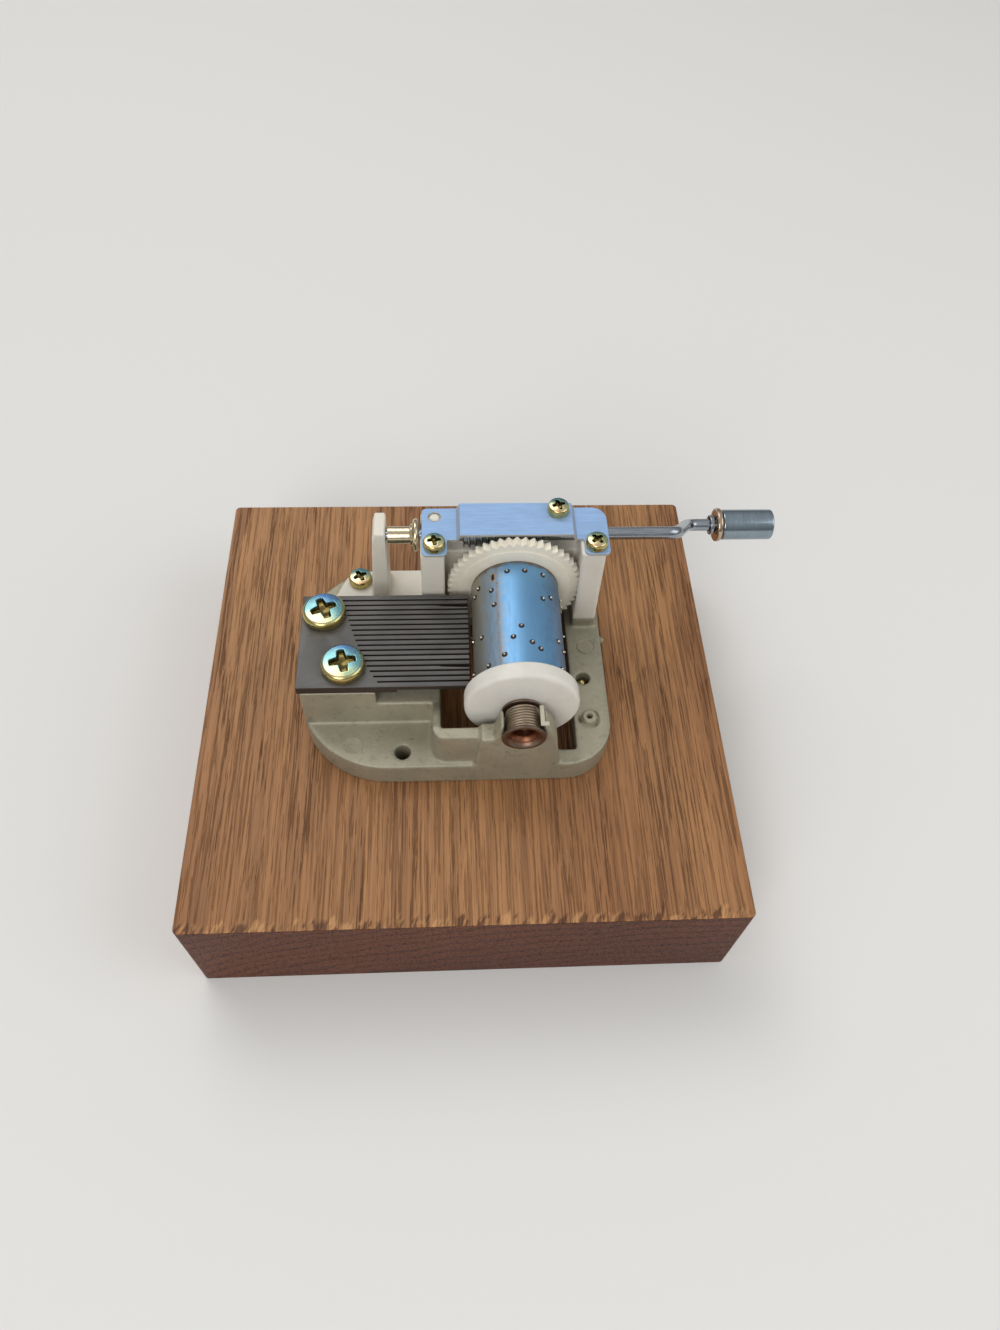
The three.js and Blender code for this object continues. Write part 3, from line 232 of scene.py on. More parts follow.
class Tree:
    """A node tree with short calls to add and join nodes."""

    def __init__(self, tree: bpy.types.NodeTree) -> None:
        """Empties the tree and keeps it."""
        self.tree = tree
        tree.nodes.clear()

    def add(self, kind: str, inputs: dict | None = None, **settings: object) -> Node:
        """Adds a node.

        Args:
            kind: The node's type.
            inputs: Values or sockets for its inputs, by name or index.
            settings: Properties of the node.

        Returns:
            The new node.
        """
        node = self.tree.nodes.new(kind)
        for key, value in settings.items():
            setattr(node, key, value)
        for key, value in (inputs or {}).items():
            self.feed(node.inputs[key], value)
        return node

    def feed(self, socket: Socket, value: object) -> None:
        """Joins a socket to another, or sets its own value.

        Args:
            socket: The socket to feed.
            value: Another socket, a number, a vector or a colour without its alpha.
        """
        if isinstance(value, Socket):
            self.tree.links.new(value, socket)
        elif isinstance(value, tuple) and len(value) == 3 and socket.type == "RGBA":
            socket.default_value = (*value, 1)
        else:
            socket.default_value = value

    def math(self, operation: str, a: object, b: object = 0.0) -> Socket:
        """One sum of two numbers."""
        return self.add("ShaderNodeMath", {0: a, 1: b}, operation=operation).outputs[0]

    def plus(self, a: object, b: object) -> Socket:
        """Two numbers added."""
        return self.math("ADD", a, b)

    def minus(self, a: object, b: object) -> Socket:
        """The first number less the second."""
        return self.math("SUBTRACT", a, b)

    def times(self, a: object, b: object) -> Socket:
        """Two numbers multiplied."""
        return self.math("MULTIPLY", a, b)

    def span(
        self, value: object, low: object, high: object, to_low: float = 0, to_high: float = 1
    ) -> Socket:
        """Maps one range of numbers to another and holds it to the ends.

        Args:
            value: The number to map.
            low: Where its range starts.
            high: Where its range ends.
            to_low: What the start becomes.
            to_high: What the end becomes.

        Returns:
            The mapped number.
        """
        inputs = {
            "Value": value, "From Min": low, "From Max": high, "To Min": to_low, "To Max": to_high}
        return self.add("ShaderNodeMapRange", inputs).outputs[0]

    def blend(self, share: object, first: object, second: object, kind: str = "MIX") -> Socket:
        """Mixes two colours."""
        inputs = {0: share, 6: first, 7: second}
        return self.add("ShaderNodeMix", inputs, data_type="RGBA", blend_type=kind).outputs[2]

    def tint(self, first: object, second: object) -> Socket:
        """One colour multiplied by another."""
        return self.blend(1.0, first, second, "MULTIPLY")

    def grey(self, value: Socket) -> Socket:
        """A number as a grey colour."""
        return self.add("ShaderNodeCombineColor", {0: value, 1: value, 2: value}).outputs[0]

    def parts(self, vector: Socket) -> tuple[Socket, Socket, Socket]:
        """The three numbers of a vector."""
        return tuple(self.add("ShaderNodeSeparateXYZ", {0: vector}).outputs)

    def vector(self, x: object, y: object = 0.0) -> Socket:
        """A vector from its first two numbers."""
        return self.add("ShaderNodeCombineXYZ", {0: x, 1: y}).outputs[0]

    def stretched(self, vector: Socket, factors: object) -> Socket:
        """A vector multiplied by another, number by number."""
        inputs = {0: vector, 1: factors}
        return self.add("ShaderNodeVectorMath", inputs, operation="MULTIPLY").outputs[0]

    def group(self, group: bpy.types.NodeTree, inputs: dict[str, object]) -> Socket:
        """Places a shader group and gives its first output."""
        return self.add("ShaderNodeGroup", inputs, node_tree=group).outputs[0]

    def mark(self, name: str) -> Socket:
        """A number that the mesh holds for each point."""
        return self.add("ShaderNodeAttribute", attribute_name=name).outputs["Fac"]

    def noise(
        self, vector: object, scale: object, detail: float = 3, rough: float = 0.55
    ) -> Socket:
        """Cloudy noise, from 0 to 1."""
        inputs = {"Vector": vector, "Scale": scale, "Detail": detail, "Roughness": rough}
        return self.add("ShaderNodeTexNoise", inputs).outputs[0]


class Skin(Tree):
    """A material's tree, with Object coordinates at one end and its shader at the other.

    Attributes:
        where: Object coordinates.
        shader: The Principled shader.
    """

    def __init__(self, tree: bpy.types.NodeTree) -> None:
        """Makes the coordinates, the shader and the material's output.

        Args:
            tree: The material's own node tree.
        """
        super().__init__(tree)
        self.where = self.add("ShaderNodeTexCoord").outputs["Object"]
        self.shader = self.add("ShaderNodeBsdfPrincipled")
        self.add("ShaderNodeOutputMaterial", {"Surface": self.shader.outputs[0]})

    def paint(self, colour: Socket) -> None:
        """Feeds the base colour."""
        self.feed(self.shader.inputs["Base Color"], colour)

    def painted(self) -> Socket:
        """What feeds the base colour so far."""
        return self.shader.inputs["Base Color"].links[0].from_socket

    def overlay(self, share: Socket, colour: Colour) -> None:
        """Lays another colour over the base colour by a share."""
        self.paint(self.blend(share, self.painted(), colour))

    def facing(self, axis: int) -> Socket:
        """How squarely the surface faces along one axis of the object, from 0 to 1."""
        normal = self.add("ShaderNodeTexCoord").outputs["Normal"]
        return self.math("ABSOLUTE", self.parts(normal)[axis])


class Kind(Enum):
    """What a shader group's socket holds."""

    NUMBER = "NodeSocketFloat"
    COLOUR = "NodeSocketColor"
    VECTOR = "NodeSocketVector"


class Effects:
    """Shader groups that several finishes share, each built once."""

    @staticmethod
    def start(
        name: str, inputs: dict[str, tuple[Kind, object]], outputs: dict[str, Kind]
    ) -> tuple[Tree, Node, Node]:
        """Makes an empty group.

        Args:
            name: The group's name.
            inputs: Socket kind and default value by name.
            outputs: Socket kind by name.

        Returns:
            Its tree, its input node and its output node.
        """
        group = bpy.data.node_groups.new(name, "ShaderNodeTree")
        for label, (kind, value) in inputs.items():
            socket = group.interface.new_socket(label, in_out="INPUT", socket_type=kind.value)
            if kind is Kind.COLOUR:
                socket.default_value = (*value, 1)
            elif kind is Kind.NUMBER:
                socket.default_value = value
        for label, kind in outputs.items():
            group.interface.new_socket(label, in_out="OUTPUT", socket_type=kind.value)
        tree = Tree(group)
        return tree, tree.add("NodeGroupInput"), tree.add("NodeGroupOutput")

    @staticmethod
    @cache
    def mottle() -> bpy.types.NodeTree:
        """Two colours in soft clouds.

        Returns:
            The group.
        """
        tree, into, out = Effects.start(
            "mottle",
            {"Vector": (Kind.VECTOR, None), "First": (Kind.COLOUR, (0.5, 0.5, 0.5)),
             "Second": (Kind.COLOUR, (0.4, 0.4, 0.4)), "Scale": (Kind.NUMBER, 300.0),
             "Contrast": (Kind.NUMBER, 0.2)},
            {"Color": Kind.COLOUR})
        clouds = tree.noise(into.outputs["Vector"], into.outputs["Scale"], 6, 0.6)
        low = tree.minus(0.5, into.outputs["Contrast"])
        high = tree.plus(0.5, into.outputs["Contrast"])
        share = tree.span(clouds, low, high)
        mixed = tree.blend(share, into.outputs["First"], into.outputs["Second"])
        tree.feed(out.inputs["Color"], mixed)
        return tree.tree

    @staticmethod
    @cache
    def drawn_lines() -> bpy.types.NodeTree:
        """Fine lines along one axis, from noise that is stretched along it.

        Returns:
            The group.
        """
        tree, into, out = Effects.start(
            "drawn_lines",
            {"Vector": (Kind.VECTOR, None), "Stretch": (Kind.VECTOR, None),
             "Scale": (Kind.NUMBER, 4000.0)},
            {"Height": Kind.NUMBER})
        stretched = tree.stretched(into.outputs["Vector"], into.outputs["Stretch"])
        lines = tree.noise(stretched, into.outputs["Scale"], 3, 0.7)
        tree.feed(out.inputs["Height"], lines)
        return tree.tree

    @staticmethod
    @cache
    def edge_wear() -> bpy.types.NodeTree:
        """Where edges stand proud, broken up by noise.

        Returns:
            The group.
        """
        tree, into, out = Effects.start(
            "edge_wear",
            {"Vector": (Kind.VECTOR, None), "Start": (Kind.NUMBER, 0.52),
             "End": (Kind.NUMBER, 0.6)},
            {"Mask": Kind.NUMBER})
        proud = tree.add("ShaderNodeNewGeometry").outputs["Pointiness"]
        broken = tree.minus(tree.noise(into.outputs["Vector"], 900.0, 4), 0.5)
        shifted = tree.plus(proud, tree.times(broken, 0.05))
        mask = tree.span(shifted, into.outputs["Start"], into.outputs["End"])
        tree.feed(out.inputs["Mask"], mask)
        return tree.tree


@dataclass(frozen=True)
class Finish:
    """A surface finish: the shader's plain values, with the pattern left to each kind.

    Attributes:
        name: The material's name.
        slot: The record's material slot. Not used.
        colour: Linear base colour.
        second: Linear colour of its clouds or marks.
        roughness: How dull it is.
        metallic: 1 for bare metal.
        bump: Height of its surface texture, in millimetres.
        grain: Scale of its surface texture, per metre.
        values: Other sockets of the shader with one value all over.
    """

    name: str
    slot: str
    colour: Colour
    second: Colour
    roughness: float = 0.4
    metallic: float = 0.0
    bump: float = 0.01
    grain: float = 1500.0
    values: tuple[tuple[str, object], ...] = ()

    def material(self) -> bpy.types.Material:
        """Makes the finish's material, or finds it once it is made.

        Returns:
            The material.
        """
        found = bpy.data.materials.get(self.name)
        if found:
            return found
        made = bpy.data.materials.new(self.name)
        made.use_nodes = True
        skin = Skin(made.node_tree)
        plain = (("Metallic", self.metallic), ("Roughness", self.roughness), *self.values)
        for socket, value in plain:
            skin.feed(skin.shader.inputs[socket], value)
        height = self.pattern(skin)
        bump = skin.add(
            "ShaderNodeBump", {"Strength": 1.0, "Distance": self.bump * MM, "Height": height})
        skin.feed(skin.shader.inputs["Normal"], bump.outputs[0])
        return made

    def pattern(self, skin: Skin) -> Socket:
        """Feeds the colour and roughness that change over the surface.

        Args:
            skin: The material's tree.

        Returns:
            The height of the surface texture.
        """
        skin.paint(self.clouds(skin, self.grain / 5))
        fine = skin.noise(skin.where, self.grain, 4)
        self.dull(skin, fine, (0.3, 0.7), (0.05, 0.07))
        return fine

    def clouds(self, skin: Skin, scale: float, contrast: float = 0.2) -> Socket:
        """The finish's two colours in soft clouds.

        Args:
            skin: The material's tree.
            scale: Scale of the clouds, per metre.
            contrast: How far the noise runs between the colours. Less is sharper.

        Returns:
            The mixed colour.
        """
        return skin.group(Effects.mottle(), {
            "Vector": skin.where, "First": self.colour, "Second": self.second,
            "Scale": scale, "Contrast": contrast})

    def dull(
        self, skin: Skin, source: Socket, ends: tuple[float, float], reach: tuple[float, float]
    ) -> None:
        """Feeds a roughness that follows a number.

        Args:
            skin: The material's tree.
            source: The number to follow.
            ends: The number's low and high end.
            reach: How far the roughness goes below and above the finish's own.
        """
        low, high = self.roughness - reach[0], self.roughness + reach[1]
        skin.feed(skin.shader.inputs["Roughness"], skin.span(source, *ends, low, high))


@dataclass(frozen=True)
class CastFinish(Finish):
    """A dull casting: pitted skin, clouds of tarnish and edges rubbed bright.

    Attributes:
        worn: Colour of the rubbed edges.
        stain: Colour of the stains.
    """

    worn: Colour = (0.46, 0.44, 0.35)
    stain: Colour = (0.145, 0.135, 0.105)

    def pattern(self, skin: Skin) -> Socket:
        """Clouds, stains, rubbed edges and a pitted height.

        Args:
            skin: The material's tree.

        Returns:
            The height of the pits.
        """
        stains = skin.span(skin.noise(skin.where, 620.0, 5, 0.7), 0.56, 0.7, 0, 0.45)
        shade = skin.blend(stains, self.clouds(skin, 140.0), self.stain)
        wear = skin.group(Effects.edge_wear(), {"Vector": skin.where})
        shade = skin.blend(skin.times(wear, 0.5), shade, self.worn)
        fine = skin.noise(skin.where, self.grain, 6, 0.7)
        skin.paint(skin.tint(shade, skin.grey(skin.span(fine, 0.35, 0.65, 0.90, 1.08))))
        self.dull(skin, fine, (0.3, 0.7), (0.1, 0.12))
        pits = skin.span(skin.noise(skin.where, self.grain / 2.5, 2), 0.2, 0.42)
        return skin.plus(fine, skin.times(pits, 0.8))


@dataclass(frozen=True)
class DrawnFinish(Finish):
    """Metal with fine lines along one axis, as grinding, turning or drawing leaves them.

    Attributes:
        stretch: How fast the lines change along each axis. They run along the slowest.
    """

    stretch: Triple = (0.03, 1.0, 1.0)

    def pattern(self, skin: Skin) -> Socket:
        """Lines in colour, roughness and height, over soft clouds.

        Args:
            skin: The material's tree.

        Returns:
            The height of the lines.
        """
        lines = skin.group(Effects.drawn_lines(), {
            "Vector": skin.where, "Stretch": self.stretch, "Scale": self.grain})
        shade = skin.grey(skin.span(lines, 0.3, 0.7, 0.86, 1.1))
        skin.paint(skin.tint(self.clouds(skin, 220.0, 0.3), shade))
        self.dull(skin, lines, (0.25, 0.75), (0.07, 0.09))
        return lines


@dataclass(frozen=True)
class MarkedFinish(DrawnFinish):
    """Drawn metal that turns to another colour where the mesh marks it: a painted reflection of the
    wood on the knob, and bare copper with painted shade in the spool's hollow.

    Attributes:
        bare: Colour where the mesh marks it.
    """

    bare: Colour = (0.8, 0.4, 0.2)

    def pattern(self, skin: Skin) -> Socket:
        """The drawn metal, then the other colour.

        Args:
            skin: The material's tree.

        Returns:
            The height of the lines.
        """
        height = super().pattern(skin)
        skin.overlay(skin.mark("bare"), self.bare)
        return height


@dataclass(frozen=True)
class PressedFinish(DrawnFinish):
    """Sheet whose upright faces are painted: shade on the comb, a highlight on the plate.

    Attributes:
        edge: Painted light and shade of the upright faces.
    """

    edge: Colour = (0.52, 0.49, 0.43)

    def pattern(self, skin: Skin) -> Socket:
        """The drawn sheet, then the painted light and shade of the upright faces.

        Args:
            skin: The material's tree.

        Returns:
            The height of the lines.
        """
        height = super().pattern(skin)
        # Painted light and shade by facing: the upright faces take the edge colour.
        skin.overlay(skin.span(skin.facing(2), 0.75, 0.35), self.edge)
        return height


@dataclass(frozen=True)
class DrumFinish(DrawnFinish):
    """Blue-white plating with a brown seam, brown ends and a tan haze beside the seam, a painted
    blue reflection on the seam's right and painted shade further round.

    Attributes:
        axis: The drum's middle line: its X and Z, in metres.
        seam: The seam's turn from straight up, in radians, negative to the left.
        ends: The drum's front and back, in metres.
        brown: Colour of the seam and of the ends.
        tan: Colour of the haze on the seam's left.
        painted_reflection_blue: Painted reflection of a blue light, on the seam's right.
        painted_far_shade: Painted shade further round to the right.
    """

    axis: tuple[float, float] = (0.00885, 0.0373)
    seam: float = -0.48
    ends: tuple[float, float] = (-0.01125, 0.0095)
    brown: Colour = (0.20, 0.12, 0.065)
    tan: Colour = (0.40, 0.37, 0.29)
    painted_reflection_blue: Colour = (0.15, 0.38, 0.66)
    painted_far_shade: Colour = (0.13, 0.17, 0.24)

    def pattern(self, skin: Skin) -> Socket:
        """Stains, a painted blue reflection and painted shade by the turn from the seam, and stains
        by the distance from the ends, all broken up by noise.

        Args:
            skin: The material's tree.

        Returns:
            The height of the lines.
        """
        height = super().pattern(skin)
        x, y, z = skin.parts(skin.where)
        upright = skin.math("ARCTAN2", skin.minus(x, self.axis[0]), skin.minus(z, self.axis[1]))
        turn = skin.minus(upright, self.seam)
        drift = skin.minus(skin.noise(skin.where, 700.0, 4, 0.7), 0.5)
        moved = skin.plus(turn, skin.times(drift, 0.5))
        haze = skin.times(skin.span(moved, -0.15, -0.55), skin.span(moved, -2.4, -1.8))
        beside = skin.plus(skin.math("ABSOLUTE", turn), skin.times(drift, 0.12))
        reach = skin.plus(y, skin.times(drift, 0.0016))
        back = skin.span(reach, self.ends[1] - 0.0009, self.ends[1] - 0.0002)
        front = skin.span(reach, self.ends[0] + 0.0008, self.ends[0] + 0.0001)
        # The first two layers are painted light: a blue reflection on the seam's right, then shade.
        layers = (
            (skin.span(moved, 0.02, 0.22), 0.8, self.painted_reflection_blue),
            (skin.span(moved, 1.05, 1.5), 0.7, self.painted_far_shade),
            (haze, 0.85, self.tan),
            (skin.span(beside, 0.07, 0.01), 0.3, self.brown),
            (skin.math("MAXIMUM", back, front), 0.85, self.brown))
        for share, strength, colour in layers:
            skin.overlay(skin.times(share, strength), colour)
        return height


@dataclass(frozen=True)
class ChromateFinish(Finish):
    """Yellow chromate whose thin film shows peach, green, teal and blue as it grows thicker.

    The mesh holds the film's thickness from 0 to 1, the share of the gold side and the depth in the
    cross. Noise moves the bands of colour.

    Attributes:
        peach: Colour of the thinnest film.
        green: Colour after the finish's second one.
        teal: Colour of a thick film.
        blue: Colour of the thickest film.
        deep: Painted shade in the cross.
    """

    peach: Colour = (0.78, 0.52, 0.30)
    green: Colour = (0.47, 0.55, 0.33)
    teal: Colour = (0.18, 0.37, 0.39)
    blue: Colour = (0.12, 0.25, 0.48)
    deep: Colour = (0.17, 0.13, 0.045)

    def pattern(self, skin: Skin) -> Socket:
        """Bands of colour along the film's thickness, a gold side and painted shade in the cross.

        Args:
            skin: The material's tree.

        Returns:
            The height of the surface texture.
        """
        drift = skin.minus(skin.noise(skin.where, 300.0, 2), 0.5)
        film = skin.plus(skin.mark("film"), skin.times(drift, 0.6))
        # The last layer darkens the cross by its depth: painted shade.
        layers = (
            (skin.span(film, 0.10, 0.24), self.second), (skin.span(film, 0.24, 0.40), self.green),
            (skin.span(film, 0.40, 0.58), self.teal), (skin.span(film, 0.72, 0.95), self.blue),
            (skin.mark("side"), self.colour), (skin.mark("cross"), self.deep))
        shade = self.peach
        for share, colour in layers:
            shade = skin.blend(share, shade, colour)
        skin.paint(shade)
        fine = skin.noise(skin.where, self.grain, 3)
        self.dull(skin, fine, (0.3, 0.7), (0.05, 0.08))
        return fine


@dataclass(frozen=True)
class OakFinish(Finish):
    """Open-grained oak cut along its rings: growth rings, pores, fibres and darker end grain.

    Attributes:
        heart: A point on the tree's middle line, in metres from the block's origin.
        ring: Width of one year's growth, in metres.
        front: Where the block's front is, in metres.
        pore: Colour of the open pores.
        splinter: Colour of the pale splinters along the front edge.
        end: Tint of the end grain.
    """

    heart: Triple = (0.044, 0.0, -0.147)
    ring: float = 0.0026
    front: float = -0.043
    pore: Colour = (0.095, 0.036, 0.016)
    splinter: Colour = (0.66, 0.36, 0.15)
    end: Colour = (0.35, 0.16, 0.05)

    def pattern(self, skin: Skin) -> Socket:
        """Pores and darker spring wood by the part of the year, and fibres along the grain.

        Args:
            skin: The material's tree.

        Returns:
            The height of the fibres less the depth of the pores.
        """
        slow = skin.stretched(skin.where, (1.0, 0.22, 1.0))
        x, y, z = skin.parts(skin.where)
        years = self.years(skin, slow, x, z)
        early = skin.minus(1.0, skin.span(skin.math("FRACT", years), 0.0, 0.45))
        year_tone = skin.noise(skin.vector(skin.math("FLOOR", years)), 0.37, 1)
        fibres = self.along_grain(skin, 0.016, 1500.0)
        vessels = self.along_grain(skin, 0.024, 2700.0)
        pores = skin.times(
            skin.span(vessels, 0.535, 0.60), skin.span(early, 0.15, 0.85, 0.6, 1.0))
        wide = skin.noise(slow, 38.0, 2)
        ground = skin.blend(skin.span(wide, 0.35, 0.65), self.colour, self.second)
        darkenings = (
            skin.times(early, skin.span(year_tone, 0.3, 0.7, 0.08, 0.30)),
            skin.span(fibres, 0.42, 0.68, 0.0, 0.55), skin.times(pores, 0.68))
        for share in darkenings:
            ground = skin.blend(share, ground, self.pore)
        ends = skin.span(skin.facing(1), 0.55, 0.9)
        rings = skin.times(skin.times(early, ends), 0.55)
        end_grain = skin.tint(skin.blend(rings, ground, self.pore), self.end)
        skin.paint(skin.blend(ends, self.torn_edge(skin, x, y, ground), end_grain))
        self.dull(skin, pores, (0, 1), (0, 0.25))
        return skin.minus(skin.times(fibres, 0.4), pores)

    def years(self, skin: Skin, slow: Socket, x: Socket, z: Socket) -> Socket:
        """The distance from the tree's middle line in years, bent by slow noise along the grain.

        Args:
            skin: The material's tree.
            slow: Object coordinates stretched along the grain.
            x: Place across the block.
            z: Height in the block.

        Returns:
            The number of years, with the part of the year as its fraction.
        """
        across, up = skin.minus(x, self.heart[0]), skin.minus(z, self.heart[2])
        squares = skin.plus(skin.times(across, across), skin.times(up, up))
        wander = skin.times(skin.minus(skin.noise(slow, 22.0, 3), 0.5), 0.018)
        return skin.math("DIVIDE", skin.plus(skin.math("SQRT", squares), wander), self.ring)

    def along_grain(self, skin: Skin, slowness: float, scale: float) -> Socket:
        """Lines that run along the block's depth."""
        return skin.group(Effects.drawn_lines(), {
            "Vector": skin.where, "Stretch": (1.0, slowness, 1.0), "Scale": scale})

    def torn_edge(self, skin: Skin, x: Socket, y: Socket, ground: Socket) -> Socket:
        """Short slanting tears behind the top's front edge, with pale splinters between them.

        Args:
            skin: The material's tree.
            x: Place across the block.
            y: Place along the block.
            ground: The colour so far.

        Returns:
            The colour with tears and splinters.
        """
        slanted = skin.minus(x, skin.times(y, 0.35))
        tears = skin.noise(skin.vector(slanted, skin.times(y, 0.3)), 900.0, 2, 0.6)
        reach = skin.noise(skin.vector(slanted), 420.0, 1)
        start = skin.plus(self.front - 0.0012, skin.times(reach, 0.0052))
        near = skin.span(skin.minus(y, start), 0.0004, -0.0004)
        dark = skin.times(skin.span(tears, 0.53, 0.58), near)
        pale = skin.times(skin.span(tears, 0.45, 0.38), near)
        ground = skin.blend(skin.times(dark, 0.8), ground, self.pore)
        return skin.blend(skin.times(pale, 0.5), ground, self.splinter)


DULL = (("Specular IOR Level", 0.3),)
SOFT = (
    ("Subsurface Weight", 0.35), ("Subsurface Radius", (1.0, 0.9, 0.75)),
    ("Subsurface Scale", 0.0012))
OAK = OakFinish(
    "oiled_oak", "oak", (0.45, 0.225, 0.092), (0.34, 0.155, 0.062),
    roughness=0.48, bump=0.10, grain=2500.0, values=DULL)
ZINC = CastFinish(
    "cast_zinc", "zinc_casting", (0.43, 0.40, 0.29), (0.34, 0.315, 0.23),
    roughness=0.5, metallic=0.4, bump=0.032, grain=2600.0)
# The comb's edge colour is painted shade: its sides and slot walls are drawn dark.
COMB_STEEL = PressedFinish(
    "ground_comb_steel", "comb_steel", (0.150, 0.145, 0.140), (0.100, 0.096, 0.092),
    roughness=0.48, metallic=0.5, bump=0.006, grain=5200.0, edge=(0.060, 0.046, 0.038))
# The plate keeps the default edge colour: a painted beige highlight on its upright faces.
PLATE_ZINC = PressedFinish(
    "bright_zinc_plate", "bright_zinc_steel", (0.36, 0.54, 0.82), (0.33, 0.50, 0.77),
    roughness=0.6, metallic=0.5, bump=0.0015, grain=2400.0, stretch=(0.1, 1.0, 1.0))
DRUM_ZINC = DrumFinish(
    "bright_zinc_drum", "bright_zinc_steel", (0.30, 0.45, 0.62), (0.33, 0.42, 0.52),
    roughness=0.46, metallic=0.85, bump=0.003, grain=3000.0, stretch=(1.0, 0.12, 1.0))
PIN_STEEL = Finish(
    "pin_steel", "bright_zinc_steel", (0.72, 0.69, 0.64), (0.45, 0.38, 0.30),
    roughness=0.2, metallic=1.0, bump=0.004, grain=4000.0)
# Painted shadow: the dark ring round each pin's foot.
BURR_SHADOW = Finish(
    "pin_burr_shadow", "bright_zinc_steel", (0.07, 0.05, 0.04), (0.04, 0.03, 0.022),
    roughness=0.5, metallic=0.7, bump=0.004, grain=4000.0)
SEAM = Finish(
    "seam_brown", "bright_zinc_steel", (0.55, 0.38, 0.26), (0.26, 0.16, 0.10),
    roughness=0.5, metallic=0.6, bump=0.004, grain=4000.0)
CHROMATE = ChromateFinish(
    "yellow_chromate", "yellow_zinc", (0.56, 0.46, 0.18), (0.80, 0.72, 0.42),
    roughness=0.24, metallic=1.0, bump=0.003, grain=3500.0)
WHITE_NYLON = Finish(
    "moulded_white_nylon", "white_nylon", (0.78, 0.76, 0.70), (0.72, 0.69, 0.62),
    roughness=0.38, bump=0.004, grain=1800.0, values=SOFT)
# A brighter copy of the white nylon for the gear: painted light on its shaded face.
GEAR_NYLON_PAINTED_LIGHT = Finish(
    "moulded_gear_nylon_painted_light", "white_nylon", (0.88, 0.83, 0.70), (0.83, 0.77, 0.63),
    roughness=0.38, bump=0.004, grain=1500.0, values=SOFT)
CREAM_NYLON = Finish(
    "moulded_cream_nylon", "cream_nylon", (0.80, 0.76, 0.67), (0.76, 0.71, 0.61),
    roughness=0.42, bump=0.006, grain=1400.0, values=SOFT)
STOP_CREAM = Finish(
    "cream_strip", "cream_plastic", (0.60, 0.57, 0.45), (0.52, 0.49, 0.38),
    roughness=0.5, bump=0.004, grain=1800.0)
NICKEL = DrawnFinish(
    "nickel_wire", "nickel_steel", (0.40, 0.45, 0.50), (0.33, 0.36, 0.39),
    roughness=0.22, metallic=1.0, bump=0.002, grain=3500.0, stretch=(0.06, 1.0, 1.0))
GILT_NICKEL = Finish(
    "gilt_nickel", "nickel_steel", (0.74, 0.65, 0.45), (0.62, 0.52, 0.34),
    roughness=0.2, metallic=1.0, bump=0.002, grain=2500.0)
# Its bare colour is a painted reflection of the wood on the knob's flange and neck.
CHROME = MarkedFinish(
    "knob_chrome", "bright_chrome", (0.33, 0.41, 0.47), (0.28, 0.34, 0.39),
    roughness=0.2, metallic=1.0, bump=0.001, grain=2800.0, stretch=(1.0, 0.06, 0.06),
    bare=(0.58, 0.45, 0.33))
# Its bare colour, for the spool's hollow, is bare copper darkened by painted shade.
COPPER = MarkedFinish(
    "copper_tube", "copper", (0.26, 0.19, 0.145), (0.175, 0.125, 0.095),
    roughness=0.4, metallic=1.0, bump=0.004, grain=2500.0, stretch=(1.0, 0.15, 1.0),
    bare=(0.24, 0.095, 0.05))
SPRING_WIRE = Finish(
    "spring_wire", "spring_steel", (0.43, 0.35, 0.26), (0.29, 0.22, 0.155),
    roughness=0.42, metallic=0.85, bump=0.003, grain=3000.0)
LEAD = Finish(
    "soft_lead", "lead", (0.16, 0.16, 0.17), (0.11, 0.11, 0.12),
    roughness=0.65, metallic=0.6, bump=0.01, grain=2500.0)


